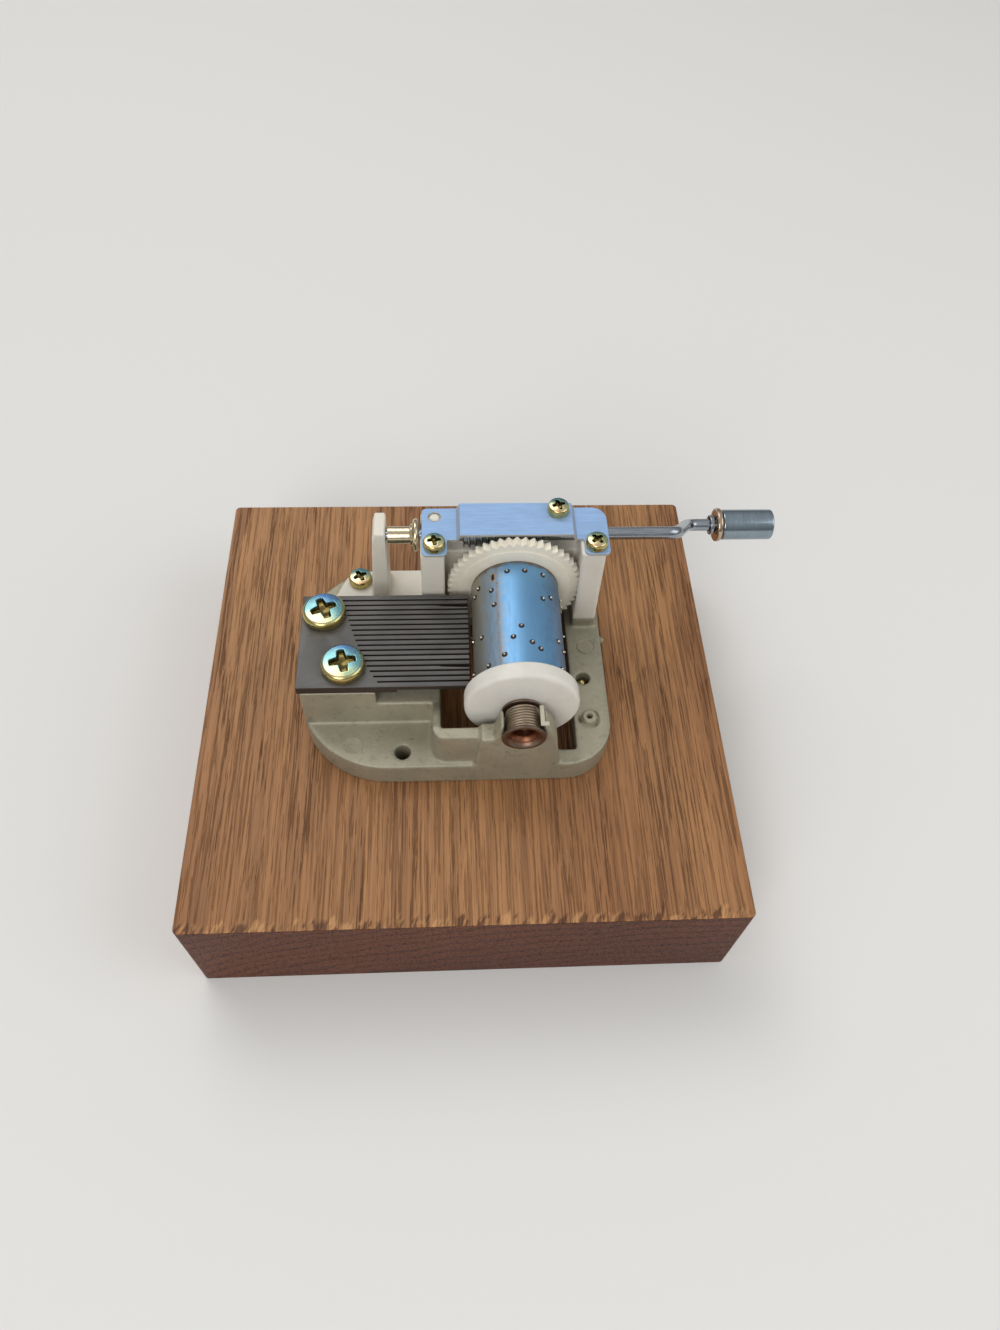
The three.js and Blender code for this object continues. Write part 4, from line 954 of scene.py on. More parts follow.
class Maker:
    """Puts meshes into the scene and ties them to the frame.

    Attributes:
        SAME: Points of a new mesh merge below this distance, in metres.
        NO_LENGTH: Edges of a new mesh go below this length, in metres.
        SAME_PACKED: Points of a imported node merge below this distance, in metres.
        FLAT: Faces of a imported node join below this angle, in degrees.
        BEVEL_FROM: Edges sharper than this are bevelled, in degrees.
        SHARP_FROM: Edges of a bevelled copy that are sharper than this stay sharp, in degrees.
    """

    SAME = 2e-7
    NO_LENGTH = 1e-7
    SAME_PACKED = 1e-6
    FLAT = 1
    BEVEL_FROM = 32
    SHARP_FROM = 38

    @staticmethod
    def linked(name: str, mesh: bpy.types.Mesh) -> Piece:
        """Puts a mesh into the scene as a new object.

        Args:
            name: The object's name.
            mesh: The mesh.

        Returns:
            The new object.
        """
        made = bpy.data.objects.new(name, mesh)
        bpy.context.scene.collection.objects.link(made)
        return made

    @staticmethod
    def shade(mesh: bpy.types.Mesh, angle: float) -> None:
        """Shades a mesh smooth but for edges sharper than an angle in degrees."""
        mesh.shade_smooth()
        mesh.set_sharp_from_angle(angle=math.radians(angle))

    @classmethod
    def mesh(
        cls, name: str, surface: Surface, angle: float, marks: Marks | None = None
    ) -> bpy.types.Mesh:
        """Makes a mesh: doubled points merge, seams close and faces turn outwards.

        Args:
            name: The mesh's name.
            surface: Points in millimetres, and faces.
            angle: Edges sharper than this many degrees stay sharp.
            marks: Numbers for each point that a finish reads, by name.

        Returns:
            The new mesh, in metres.
        """
        points, faces = surface
        mesh = bpy.data.meshes.new(name)
        mesh.from_pydata((points * MM).tolist(), [], faces.tolist())
        for mark, values in (marks or {}).items():
            layer = mesh.attributes.new(mark, "FLOAT", "POINT")
            layer.data.foreach_set("value", np.ascontiguousarray(values, np.float32).ravel())
        work = bmesh.new()
        work.from_mesh(mesh)
        bmesh.ops.remove_doubles(work, verts=work.verts, dist=cls.SAME)
        bmesh.ops.dissolve_degenerate(work, edges=work.edges, dist=cls.NO_LENGTH)
        bmesh.ops.recalc_face_normals(work, faces=work.faces)
        work.to_mesh(mesh)
        work.free()
        cls.shade(mesh, angle)
        return mesh

    @classmethod
    def piece(
        cls, name: str, surface: Surface, finish: Finish, body: str, *nodes: str,
        angle: float = 40, marks: Marks | None = None,
    ) -> Piece:
        """Makes one piece of the object.

        Args:
            name: The piece's name.
            surface: Points in millimetres, and faces.
            finish: Its finish.
            body: The body it rides on.
            nodes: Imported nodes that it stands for.
            angle: Edges sharper than this many degrees stay sharp.
            marks: Numbers for each point that its finish reads, by name.

        Returns:
            The new object.
        """
        made = cls.linked(name, cls.mesh(name, surface, angle, marks))
        return cls.settle(made, finish, body, *nodes)

    @classmethod
    def settle(cls, made: Piece, finish: Finish, body: str, *nodes: str) -> Piece:
        """Dresses a new object and ties it to the frame.

        Args:
            made: The object.
            finish: Its finish.
            body: The body it rides on.
            nodes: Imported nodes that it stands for.

        Returns:
            The same object.
        """
        cls.dress(made, finish)
        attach(made, body)
        if nodes:
            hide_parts(*nodes)
        points = len(made.data.vertices)
        log.info("%s: %d points, finish %s, on %s", made.name, points, finish.name, body)
        return made

    @staticmethod
    def dress(made: Piece, finish: Finish) -> None:
        """Gives an object its finish and no other."""
        made.data.materials.clear()
        made.data.materials.append(finish.material())

    @classmethod
    def merged_copy(cls, node: str, name: str) -> Piece:
        """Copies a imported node, merges its points and joins its flat faces.

        Args:
            node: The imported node.
            name: The copy's name.

        Returns:
            The copy, with no finish yet.
        """
        mesh = frame["nodes"][node].data.copy()
        mesh.name = name
        work = bmesh.new()
        work.from_mesh(mesh)
        bmesh.ops.remove_doubles(work, verts=work.verts, dist=cls.SAME_PACKED)
        bmesh.ops.dissolve_limit(
            work, angle_limit=math.radians(cls.FLAT), verts=work.verts, edges=work.edges)
        work.to_mesh(mesh)
        work.free()
        return cls.linked(name, mesh)

    @classmethod
    def eased_copy(
        cls, node: str, name: str, finish: Finish, body: str, width: float, segments: int = 3
    ) -> Piece:
        """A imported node's shape with its sharp edges rounded by a bevel.

        Args:
            node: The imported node.
            name: The new piece's name.
            finish: Its finish.
            body: The body it rides on.
            width: The bevel's width, in millimetres.
            segments: The bevel's steps.

        Returns:
            The new object.
        """
        made = cls.merged_copy(node, name)
        bevel = made.modifiers.new("eased_edges", "BEVEL")
        bevel.width = width * MM
        bevel.segments = segments
        bevel.limit_method = "ANGLE"
        bevel.angle_limit = math.radians(cls.BEVEL_FROM)
        bevel.use_clamp_overlap = True
        cls.bake(made)
        cls.shade(made.data, cls.SHARP_FROM)
        flat = made.modifiers.new("flat_faces", "WEIGHTED_NORMAL")
        flat.keep_sharp = True
        cls.bake(made)
        return cls.settle(made, finish, body, node)

    @classmethod
    def softened_copy(
        cls, node: str, name: str, finish: Finish, body: str, voxel: float, rounds: int
    ) -> Piece:
        """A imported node's shape as one even skin whose edges are worn round, as a casting's are.

        Args:
            node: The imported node.
            name: The new piece's name.
            finish: Its finish.
            body: The body it rides on.
            voxel: The skin's mesh size, in millimetres.
            rounds: Rounds of smoothing.

        Returns:
            The new object.
        """
        made = cls.merged_copy(node, name)
        remesh = made.modifiers.new("even_skin", "REMESH")
        remesh.mode = "VOXEL"
        remesh.voxel_size = voxel * MM
        remesh.adaptivity = 0.0
        soften = made.modifiers.new("worn_edges", "SMOOTH")
        soften.factor = 0.5
        soften.iterations = rounds
        cls.bake(made)
        made.data.shade_smooth()
        return cls.settle(made, finish, body, node)

    @classmethod
    def cut(cls, made: Piece, surface: Surface, angle: float = 40) -> None:
        """Cuts a closed surface out of a piece.

        Args:
            made: The piece.
            surface: The surface to cut out.
            angle: Edges sharper than this many degrees stay sharp.
        """
        cutter = cls.linked("cutter", cls.mesh("cutter", surface, angle))
        cut = made.modifiers.new("cut", "BOOLEAN")
        cut.operation, cut.solver, cut.object = "DIFFERENCE", "EXACT", cutter
        cls.bake(made)
        bpy.data.objects.remove(cutter)
        made.data.set_sharp_from_angle(angle=math.radians(angle))

    @staticmethod
    def bake(made: Piece) -> None:
        """Turns an object's modifiers into its own mesh.

        Args:
            made: The object.
        """
        graph = bpy.context.evaluated_depsgraph_get()
        mesh = bpy.data.meshes.new_from_object(made.evaluated_get(graph))
        made.modifiers.clear()
        made.data = mesh


@dataclass
class Screw:
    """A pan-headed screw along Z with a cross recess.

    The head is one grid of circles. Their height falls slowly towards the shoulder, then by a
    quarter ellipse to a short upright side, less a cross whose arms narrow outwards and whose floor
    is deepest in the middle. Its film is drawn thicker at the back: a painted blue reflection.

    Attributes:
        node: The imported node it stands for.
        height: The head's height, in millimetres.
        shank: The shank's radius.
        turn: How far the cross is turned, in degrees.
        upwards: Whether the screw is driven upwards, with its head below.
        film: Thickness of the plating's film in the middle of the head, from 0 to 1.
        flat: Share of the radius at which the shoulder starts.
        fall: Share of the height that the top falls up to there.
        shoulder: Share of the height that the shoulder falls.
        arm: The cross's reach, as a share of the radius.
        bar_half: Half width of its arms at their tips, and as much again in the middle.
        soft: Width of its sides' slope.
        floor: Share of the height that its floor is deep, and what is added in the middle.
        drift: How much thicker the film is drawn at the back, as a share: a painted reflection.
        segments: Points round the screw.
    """

    node: str
    height: float
    shank: float
    turn: float = 0.0
    upwards: bool = False
    film: float = 0.36
    flat: float = 0.80
    fall: float = 0.12
    shoulder: float = 0.45
    arm: float = 0.58
    bar_half: float = 0.13
    soft: float = 0.045
    floor: tuple[float, float] = (0.44, 0.2)
    drift: float = 0.75
    segments: int = 144

    def profile(self) -> Array:
        """The head's section.

        Returns:
            Shares of the radius and heights, from the middle to the rim.
        """
        out = np.linspace(0, self.flat, 48)
        top = 1 - self.fall * (out / self.flat) ** 2
        round_off = np.linspace(0, math.pi / 2, 12)[1:]
        reach = self.flat + (1 - self.flat) * np.sin(round_off)
        drop = top[-1] - self.shoulder * (1 - np.cos(round_off))
        shares = np.vstack([np.stack([out, top], -1), np.stack([reach, drop], -1)])
        return shares * [1, self.height]

    def surface(self) -> tuple[Surface, Marks]:
        """The whole screw as one closed surface.

        Returns:
            The surface, and each point's film, side and cross.
        """
        low, high = span(self.node)
        radius = (high[0] - low[0]) / 2
        middle = (low + high) / 2
        seat = low[2] + self.height if self.upwards else high[2] - self.height
        tip = high[2] - seat if self.upwards else seat - low[2]
        turn = round_angles(self.segments)
        head, neck = self.profile(), self.shank / radius
        share = head[:, :1]
        sunk = self.cross(radius * share * np.cos(turn), radius * share * np.sin(turn), radius)
        lower = np.array([
            [1.0, self.height * 0.10], [0.985, 0.03 * self.height], [0.96, 0], [neck, 0],
            [neck, self.shank - tip], [0, -tip]])
        reach = radius * np.vstack([share, lower[:, :1]])
        x, y = reach * np.cos(turn), reach * np.sin(turn)
        z = np.vstack([head[:, 1:] - sunk, lower[:, 1:] + 0 * turn])
        none = np.zeros((len(lower), len(turn)))
        marks = {
            # Thicker film at the back turns it blue there: a painted reflection of a blue light
            # behind.
            "film": np.vstack([self.film * (1 + self.drift * share * np.sin(turn + 0.25)), none]),
            "side": np.vstack([smooth(share, 0.84, 0.95) + 0 * turn, none + 1]),
            # How deep the cross is, from 0 to 1, which the finish darkens as painted shade.
            "cross": np.vstack([np.clip(sunk / (0.3 * self.height), 0, 1), none])}
        if self.upwards:
            y, z = -y, -z
        points = Axis.Z.place(x, y, z, (middle[0], middle[1], seat))
        return (points.reshape(-1, 3), grid_faces(len(x), len(turn))), marks

    def cross(self, x: Array, y: Array, radius: float) -> Array:
        """How deep the recess is: the deeper of two crossed bars with soft sides.

        Args:
            x: Places across the head.
            y: Places across the head, square to x.
            radius: The head's radius.

        Returns:
            The depth at each place, in millimetres.
        """
        angle = math.radians(self.turn)
        u = x * math.cos(angle) + y * math.sin(angle)
        v = y * math.cos(angle) - x * math.sin(angle)
        arm, edge = self.arm * radius, self.soft * radius
        out = np.hypot(u, v)

        def bar(along: Array, across: Array) -> Array:
            """How far each place is inside one bar, from 0 to 1.

            Args:
                along: Distances along the bar.
                across: Distances across it.

            Returns:
                The share at each place.
            """
            narrowing = (1 - np.clip(out / arm, 0, 1)) ** 1.3
            half = radius * (self.bar_half + self.bar_half * narrowing)
            inside = smooth(half - np.abs(across), -edge, edge)
            return inside * smooth(arm - np.abs(along), -edge, 1.6 * edge)

        even, well = self.floor
        depth = self.height * (even + well * np.exp(-(out / (0.3 * radius)) ** 2))
        return depth * np.maximum(bar(u, v), bar(v, u))

    def build(self) -> None:
        """Makes the screw."""
        surface, marks = self.surface()
        name = f"{self.node}_shape"
        Maker.piece(name, surface, CHROMATE, "base", self.node, angle=50, marks=marks)


@dataclass
class Block:
    """The oak block and the screws that hold the movement from below.

    Attributes:
        ease: How far its edges are rounded, in millimetres.
        screw_height: Height of a screw's head.
        screw_shank: Radius of a screw's shank.
    """

    ease: float = 0.8
    screw_height: float = 1.7
    screw_shank: float = 0.9

    def build(self) -> None:
        """Makes the block and its screws."""
        Maker.eased_copy("base_block", "oak_block", OAK, "base", self.ease, 4)
        for number in (1, 2, 3):
            turn = 20.0 * number
            node = f"base_screw_{number}"
            Screw(node, self.screw_height, self.screw_shank, turn, upwards=True).build()


@dataclass
class Bedplate:
    """The zinc casting, worn round at its edges, and the comb with its clamp screws.

    Attributes:
        voxel: Mesh size of the casting's skin, in millimetres.
        rounds: Rounds of smoothing that wear its edges.
        comb_ease: How far the comb's edges are rounded.
        screw_height: Height of a comb screw's head.
        screw_shank: Radius of its shank.
        turns: How far each comb screw's cross is turned, in degrees.
        weights: How many lead weights hang under the teeth.
        flange: Height of the flange over the block.
        pin_marks: Place, radius and height of each mark that the mould left.
        teeth: Teeth of the comb.
        filed: Numbers of the filed gaps from the front, and how far each is widened.
        file_cut: The file's cut: each corner's place from the tips, its place across the gap, and
            its share of the widening.
        boss: The small boss's foot, crown and hole radius, and its height over the flange.
        boss_place: How far it stands from the bedplate's right and front.
    """

    voxel: float = 0.28
    rounds: int = 6
    comb_ease: float = 0.07
    screw_height: float = 1.9
    screw_shank: float = 1.5
    turns: tuple[float, float] = (24.0, 12.0)
    weights: int = 6
    flange: float = 5.2
    pin_marks: tuple[tuple[float, float, float, float], ...] = (
        (21.53, 4.38, 1.55, 0.16), (-18.03, -14.53, 1.6, 0.06))
    teeth: int = 18
    filed: tuple[tuple[int, float], ...] = ((16, 0.6), (4, 0.55))
    file_cut: tuple[Triple, ...] = (
        (-6.0, 0.1, 0.0), (-4.4, 0.1, 0.8), (-0.4, 0.0, 1.0), (0.5, 0.0, 0.8), (0.5, 0.1, 0.0))
    boss: tuple[float, float, float, float] = (1.5, 1.15, 0.52, 0.85)
    boss_place: tuple[float, float] = (4.35, 8.5)

    def build(self) -> None:
        """Makes the casting, the comb with its screws, the flange's small forms and the weights."""
        Maker.softened_copy(
            "bedplate", "bedplate_casting", ZINC, "base", self.voxel, self.rounds)
        comb = Maker.eased_copy("comb", "comb_plate", COMB_STEEL, "base", self.comb_ease, 2)
        self.file_teeth(comb)
        for node, turn in zip(("comb_screw_rear", "comb_screw_front"), self.turns):
            Screw(node, self.screw_height, self.screw_shank, turn, film=0.62).build()
        _, block_top = span("base_block")
        top = block_top[2] + self.flange
        self.boss_cone(top)
        self.mould_marks(top)
        for number in range(1, self.weights + 1):
            Maker.dress(frame["nodes"][f"tooth_weight_{number}"], LEAD)

    def file_teeth(self, comb: Piece) -> None:
        """Widens the comb's tuned gaps, where a tooth was filed along one side near its tip.

        The cut is an upright prism: a corner's place across the gap is its own less its share of
        the widening.

        Args:
            comb: The comb's piece.
        """
        low, high = span("comb")
        pitch = (high[1] - low[1]) / self.teeth
        along, side, share = np.array(self.file_cut).T
        heights = np.array([low[2] - 1, low[2] - 1, high[2] + 1, high[2] + 1])[:, None, None]
        for number, width in self.filed:
            corners = np.stack([along, side - share * width], -1)
            corners += [high[0], low[1] + number * pitch]
            middle = corners.mean(axis=0) + 0 * corners
            rows = np.stack([middle, corners, corners, middle])
            points = np.concatenate([rows, heights + 0 * rows[:, :, :1]], axis=2)
            Maker.cut(comb, (points.reshape(-1, 3), grid_faces(4, len(corners))))

    def boss_cone(self, top: float) -> None:
        """The boss with its hole on the right: a cone turned about its upright axis.

        Args:
            top: Height of the flange's top.
        """
        low, high = span("bedplate")
        foot, crown, hole, rise = self.boss
        corners = np.array([
            [hole, -0.9], [foot, -0.9], [foot, -0.5], [crown, rise], [hole, rise]])
        cone = eased(corners, [0.05, 0.05, 0.2, 0.25, 0.12])
        place = (high[0] - self.boss_place[0], low[1] + self.boss_place[1], top)
        Maker.piece("boss_cone", revolved(cone, Axis.Z, place, 64, ring=True), ZINC, "base")

    def mould_marks(self, top: float) -> None:
        """Low round marks that the mould's pins left, each a rim round a flat middle.

        Args:
            top: Height of the flange's top.
        """
        for number, (x, y, radius, rise) in enumerate(self.pin_marks, 1):
            profile = np.array([
                [0, -0.2], [radius + 0.12, -0.2], [radius + 0.05, 0.0], [radius, rise],
                [radius - 0.1, rise], [radius - 0.2, rise * 0.3], [0, rise * 0.3]])
            disc = revolved(profile, Axis.Z, (x, y, top), 64)
            Maker.piece(f"mould_mark_{number}", disc, ZINC, "base")


@dataclass
class Drum:
    """The pinned cylinder with its gear, cap, arbor, spool and wrap spring.

    Attributes:
        pins: How many pins stand on the cylinder.
        tracks: Rows of pins along the cylinder, one for each tooth of the comb.
        pin_height: How far a pin stands out, in millimetres.
        tune: Step, sway, sway step and reach of the tracks, then step and reach of the beats.
        wall: The cylinder's wall.
        cap_rise: How far the cap's radius passes the cylinder's.
        slit: The slit's angle, half width and half length.
        slit_from_back: How far the slit's middle is from the cylinder's back.
        seam: The angle of the row of marks along the seam.
        seam_step: Distance between two of those marks.
        teeth: Teeth on the gear's rim, and as many on its back.
        tooth_depth: Height of a rim tooth.
        rim_step: How far the rim stands behind the gear's front face.
        face_inner: Inner radius of the teeth on the back.
        face_outer: Their outer radius.
        face_step: Height of the ring that carries them.
        face_height: Their own height.
        face_flank: Where their sides start and end, as shares of a tooth from its middle.
        plug: How deep the gear and the cap reach into the cylinder.
        plug_gap: Room between such a plug and the cylinder.
        arbor_bore: Radius of the hole for the arbor.
        spool_ring: Width of the spool's ring against the cap.
        spool_lip: Width of the spool's lip.
        coils: Turns of the wrap spring, which touch each other.
        centre: A point on the drum's axis.
    """

    pins: int = 48
    tracks: int = 18
    pin_height: float = 0.4
    tune: tuple[float, ...] = (1.7, 2.0, 0.37, 0.48, 2.1, 0.35)
    wall: float = 0.5
    cap_rise: float = 1.7
    slit: Triple = (-122.6, 0.32, 0.8)
    slit_from_back: float = 2.45
    seam: float = -117.5
    seam_step: float = 0.66
    teeth: int = 50
    tooth_depth: float = 0.8
    rim_step: float = 0.22
    face_inner: float = 7.35
    face_outer: float = 8.85
    face_step: float = 0.6
    face_height: float = 0.9
    face_flank: tuple[float, float] = (0.11, 0.21)
    plug: float = 1.6
    plug_gap: float = 0.3
    arbor_bore: float = 1.3
    spool_ring: float = 0.4
    spool_lip: float = 0.45
    coils: int = 8
    centre: Array = field(default_factory=lambda: joint_place("drum_turn") * [1, 0, 1])

    def build(self) -> None:
        """Makes the drum's pieces."""
        self.cylinder()
        self.pinning()
        self.seam_marks()
        self.gear()
        self.cap()
        self.arbor()
        self.spool()
        self.spring()

    def radius(self) -> float:
        """The bare cylinder's radius."""
        low, high = span("drum_cap")
        return (high[0] - low[0]) / 2 - self.cap_rise

    def plug_radius(self) -> float:
        """Radius of the gear's and the cap's plugs in the cylinder."""
        return self.radius() - self.wall - self.plug_gap

    def turned(self, corners: list, radii: object, segments: int, steps: int = 6) -> Surface:
        """A closed section of (radius, place along Y) corners, eased and turned about the axis."""
        profile = eased(np.array(corners), radii, steps)
        return revolved(profile, Axis.Y, self.centre, segments, ring=True)

    def cylinder(self) -> None:
        """A thin tube, a slit cut through it as a stretched stud, and the slit's rusty rim."""
        low, high = span("music_cylinder")
        radius, bore = self.radius(), self.radius() - self.wall
        corners = [[bore, low[1]], [radius, low[1]], [radius, high[1]], [bore, high[1]]]
        tube = Maker.piece(
            "pinned_cylinder", self.turned(corners, 0.08, 180, 4), DRUM_ZINC, "drum",
            "music_cylinder")
        turn, half_width, half_length = self.slit
        angle, place = np.radians([turn]), np.array([high[1] - self.slit_from_back])
        depth = -2 * self.wall
        cutter = np.array([[0, 0.5], [half_width, 0.5], [half_width, depth], [0, depth]])
        Maker.cut(tube, self.studs(cutter, angle, place, stretch=half_length / half_width))
        rim = np.array([[1.05, -0.1], [1.05, 0.02], [1.4, 0.02], [1.6, 0.0], [1.6, -0.1]])
        rust = self.studs(rim * [half_width, 1], angle, place, ring=True, stretch=1.9)
        Maker.piece("slit_rust", rust, SEAM, "drum")

    def pinning(self) -> None:
        """The pins, each with a round tip, and a low burr round each foot, painted dark as its
        shadow.
        """
        angle, along = self.tune_places()
        height = np.array([1, self.pin_height])
        point = np.array([
            [0.0, 1.0], [0.09, 0.99], [0.15, 0.90], [0.19, 0.66], [0.22, 0.15], [0.24, -0.2],
            [0, -0.2]])
        burr_shadow = np.array([
            [0.18, 0.22], [0.28, 0.25], [0.37, 0.12], [0.47, 0.02], [0.49, -0.08], [0.18, -0.15]])
        Maker.piece("cylinder_pins", self.studs(point * height, angle, along), PIN_STEEL, "drum")
        # The burr round each foot is drawn dark: the pin's painted shadow.
        burr_shadows = self.studs(burr_shadow * height, angle, along, ring=True)
        Maker.piece("pin_burr_shadows", burr_shadows, BURR_SHADOW, "drum")

    def seam_marks(self) -> None:
        """The row of low dots along the seam, from the front to the slit."""
        low, high = span("music_cylinder")
        last = high[1] - self.slit_from_back - self.slit[2] - 0.3
        along = np.arange(low[1] + 1, last, self.seam_step)
        dot = np.array([[0.0, 0.03], [0.10, 0.028], [0.16, 0.01], [0.18, -0.04], [0.0, -0.04]])
        dots = self.studs(dot, np.full(len(along), math.radians(self.seam)), along)
        Maker.piece("seam_marks", dots, SEAM, "drum")

    def tune_places(self) -> tuple[Array, Array]:
        """Spreads the pins by a formula.

        The track swings along the comb by a sine whose phase sways, and the beat is the pin's
        number moved by another sine.

        Returns:
            Each pin's angle and its place along Y.
        """
        comb_low, comb_high = span("comb")
        pitch = (comb_high[1] - comb_low[1]) / self.tracks
        step, sway, sway_step, reach, beat_step, beat_reach = self.tune
        number = np.arange(self.pins)
        share = 0.5 + reach * np.sin(number * step + sway * np.sin(number * sway_step))
        beat = number + beat_reach * np.sin(number * beat_step)
        track = np.floor(self.tracks * share)
        return TURN * beat / self.pins, comb_low[1] + (track + 0.5) * pitch

    def studs(
        self, profile: Array, angle: Array, along: Array, ring: bool = False,
        stretch: float = 1.0, sides: int = 16,
    ) -> Surface:
        """Small turned shapes that stand on the cylinder.

        A point is the foot on the drum's axis, plus its height along the way outwards, plus its two
        distances from the shape's own axis, along the drum and round it.

        Args:
            profile: Radius and height of one shape's outline.
            angle: Each shape's angle round the drum.
            along: Each shape's place along the drum.
            ring: Whether the outline closes on itself.
            stretch: How many times longer each shape is along the drum.
            sides: Points round each shape.

        Returns:
            All shapes as one surface.
        """
        turn = round_angles(sides)
        a = (profile[:, :1] * np.cos(turn)).ravel() * stretch
        b = (profile[:, :1] * np.sin(turn)).ravel()
        h = (profile[:, 1:] + 0 * turn).ravel() + self.radius()
        out = np.stack([np.cos(angle), 0 * angle, -np.sin(angle)], -1)
        side = np.stack([np.sin(angle), 0 * angle, np.cos(angle)], -1)
        points = out[:, None] * h[None, :, None] + side[:, None] * b[None, :, None] + self.centre
        points[:, :, 1] += along[:, None] + a[None, :]
        faces = grid_faces(len(profile), sides, ring)
        starts = np.arange(len(angle)) * len(a)
        return points.reshape(-1, 3), (faces[None] + starts[:, None, None]).reshape(-1, 4)

    def gear(self) -> None:
        """The drum gear as one grid: rows follow its section and columns go round.

        A row is (radius, place along Y, share of a rim tooth, share of a back tooth). The shares
        move the row out by the pointed teeth of the rim and back by the row of face teeth.
        """
        low, high = span("drum_gear")
        front, step = low[1] + self.plug, high[1] - self.face_height
        back, rim = step - self.face_step, front + self.rim_step
        bore, plug = self.arbor_bore, self.plug_radius()
        bottom = (high[0] - low[0]) / 2 - self.tooth_depth
        inner, outer = self.face_inner, self.face_outer
        turn = round_angles(self.teeth * 16)
        offset = np.abs((turn * self.teeth / TURN + 0.5) % 1 - 0.5)
        crest = smooth(0.5 - offset, 0, 0.5) * 0.15 + (1 - 2 * offset) * 0.85
        face = 1 - smooth(offset, *self.face_flank)
        front_rows = [
            (bore, low[1], 0, 0), (plug - 0.1, low[1], 0, 0), (plug, low[1] + 0.1, 0, 0),
            (plug, front, 0, 0), (self.radius() + 0.4, front, 0, 0), (bottom - 1.15, front, 0, 0),
            (bottom - 1.05, front + 0.03, 0, 0), (bottom - 1.0, rim - 0.03, 0, 0),
            (bottom - 0.9, rim, 0, 0)]
        rim_rows = [
            (bottom - 0.12, rim, 0, 0), (bottom, rim + 0.05, 0.93, 0), (bottom, rim + 0.12, 1, 0),
            (bottom, back - 0.12, 1, 0), (bottom, back - 0.05, 0.93, 0),
            (bottom - 0.12, back, 0, 0)]
        back_rows = [
            (outer + 0.06, back, 0, 0), (outer, back + 0.06, 0, 0), (outer, step - 0.02, 0, 0),
            (outer - 0.02, step, 0, 0.6), (outer - 0.1, step, 0, 1), (inner + 0.1, step, 0, 1),
            (inner + 0.02, step, 0, 0.6), (inner, step - 0.02, 0, 0), (inner, back + 0.06, 0, 0),
            (inner - 0.06, back, 0, 0), (bore + 0.6, back, 0, 0), (bore + 0.5, back + 0.3, 0, 0),
            (bore, back + 0.3, 0, 0)]
        table = np.array(front_rows + rim_rows + back_rows)
        radius, place, rim_share, back_share = table.T[..., None]
        r = radius + rim_share * self.tooth_depth * crest
        h = place + back_share * self.face_height * face
        points = Axis.Y.place(r * np.sin(turn), r * np.cos(turn), h, self.centre)
        surface = points.reshape(-1, 3), grid_faces(*points.shape[:2], ring=True)
        # The gear's nylon is a brighter copy: painted light.
        Maker.piece("drum_gear_moulded", surface, GEAR_NYLON_PAINTED_LIGHT, "drum", "drum_gear", angle=32)

    def cap(self) -> None:
        """The end cap: a disc with a soft rim, and a shallow rise from the rim to the spool."""
        low, high = span("drum_cap")
        radius = (high[0] - low[0]) / 2
        back = high[1] - self.plug
        plug, bore = self.plug_radius(), self.arbor_bore
        corners = [
            [bore, low[1]], [0.55 * radius, low[1]], [radius, low[1] + 0.25], [radius, back],
            [plug, back], [plug, high[1]], [bore, high[1]]]
        radii = [0.05, 2.0, 0.8, 0.5, 0.05, 0.2, 0.05]
        surface = self.turned(corners, radii, 160, 8)
        Maker.piece("drum_cap_moulded", surface, WHITE_NYLON, "drum", "drum_cap")

    def arbor(self) -> None:
        """The steel arbor with eased ends."""
        low, high = span("arbor")
        radius = (high[2] - low[2]) / 2
        corners = [[0, low[1]], [radius, low[1]], [radius, high[1]], [0, high[1]]]
        profile = eased(np.array(corners), 0.2, 4, closed=False)
        rod = revolved(profile, Axis.Y, self.centre, 40)
        Maker.piece("arbor_rod", rod, NICKEL, "drum", "arbor")

    def spool(self) -> None:
        """The copper tube: a ring against the cap, a body under the spring, a flared lip and a
        hollow that narrows behind it. The hollow is marked as bare copper with painted shade."""
        low, high = span("spool")
        lip = (high[0] - low[0]) / 2
        body, ring, hollow = self.coil_size()[1] - 0.06, lip - 0.25, lip - 1.8
        ring_front, lip_back = high[1] - self.spool_ring, low[1] + self.spool_lip
        corners = [
            [self.arbor_bore, high[1]], [ring, high[1]], [ring, ring_front], [body, ring_front],
            [body, lip_back + 0.12], [lip - 0.12, lip_back], [lip, low[1] + 0.12],
            [lip - 0.45, low[1]], [lip - 0.8, low[1] + 0.12], [hollow, low[1] + 1.3],
            [hollow, low[1] + 2.6], [self.arbor_bore, low[1] + 2.6]]
        radii = [0.05, 0.2, 0.15, 0.05, 0.1, 0.12, 0.1, 0.25, 0.3, 0.4, 0.1, 0.05]
        points, faces = self.turned(corners, radii, 96)
        out = np.hypot(points[:, 0] - self.centre[0], points[:, 2] - self.centre[2])
        # The hollow: bare copper, drawn darker as painted shade.
        bare = smooth(lip - 0.85 - out, 0, 0.4) * smooth(low[1] + 2.7 - points[:, 1], 0, 0.2)
        Maker.piece("spool_tube", (points, faces), COPPER, "drum", "spool", marks={"bare": bare})

    def coil_size(self) -> tuple[float, float]:
        """Fits the touching coils between the spool's ring and lip.

        Returns:
            The wrap spring's wire radius and its coils' inner radius.
        """
        low, high = span("spool")
        room = high[1] - low[1] - self.spool_ring - self.spool_lip
        wire = room / (self.coils + 1) / 2
        spring_low, spring_high = span("wrap_spring")
        return wire, (spring_high[0] - spring_low[0]) / 2 - 2 * wire

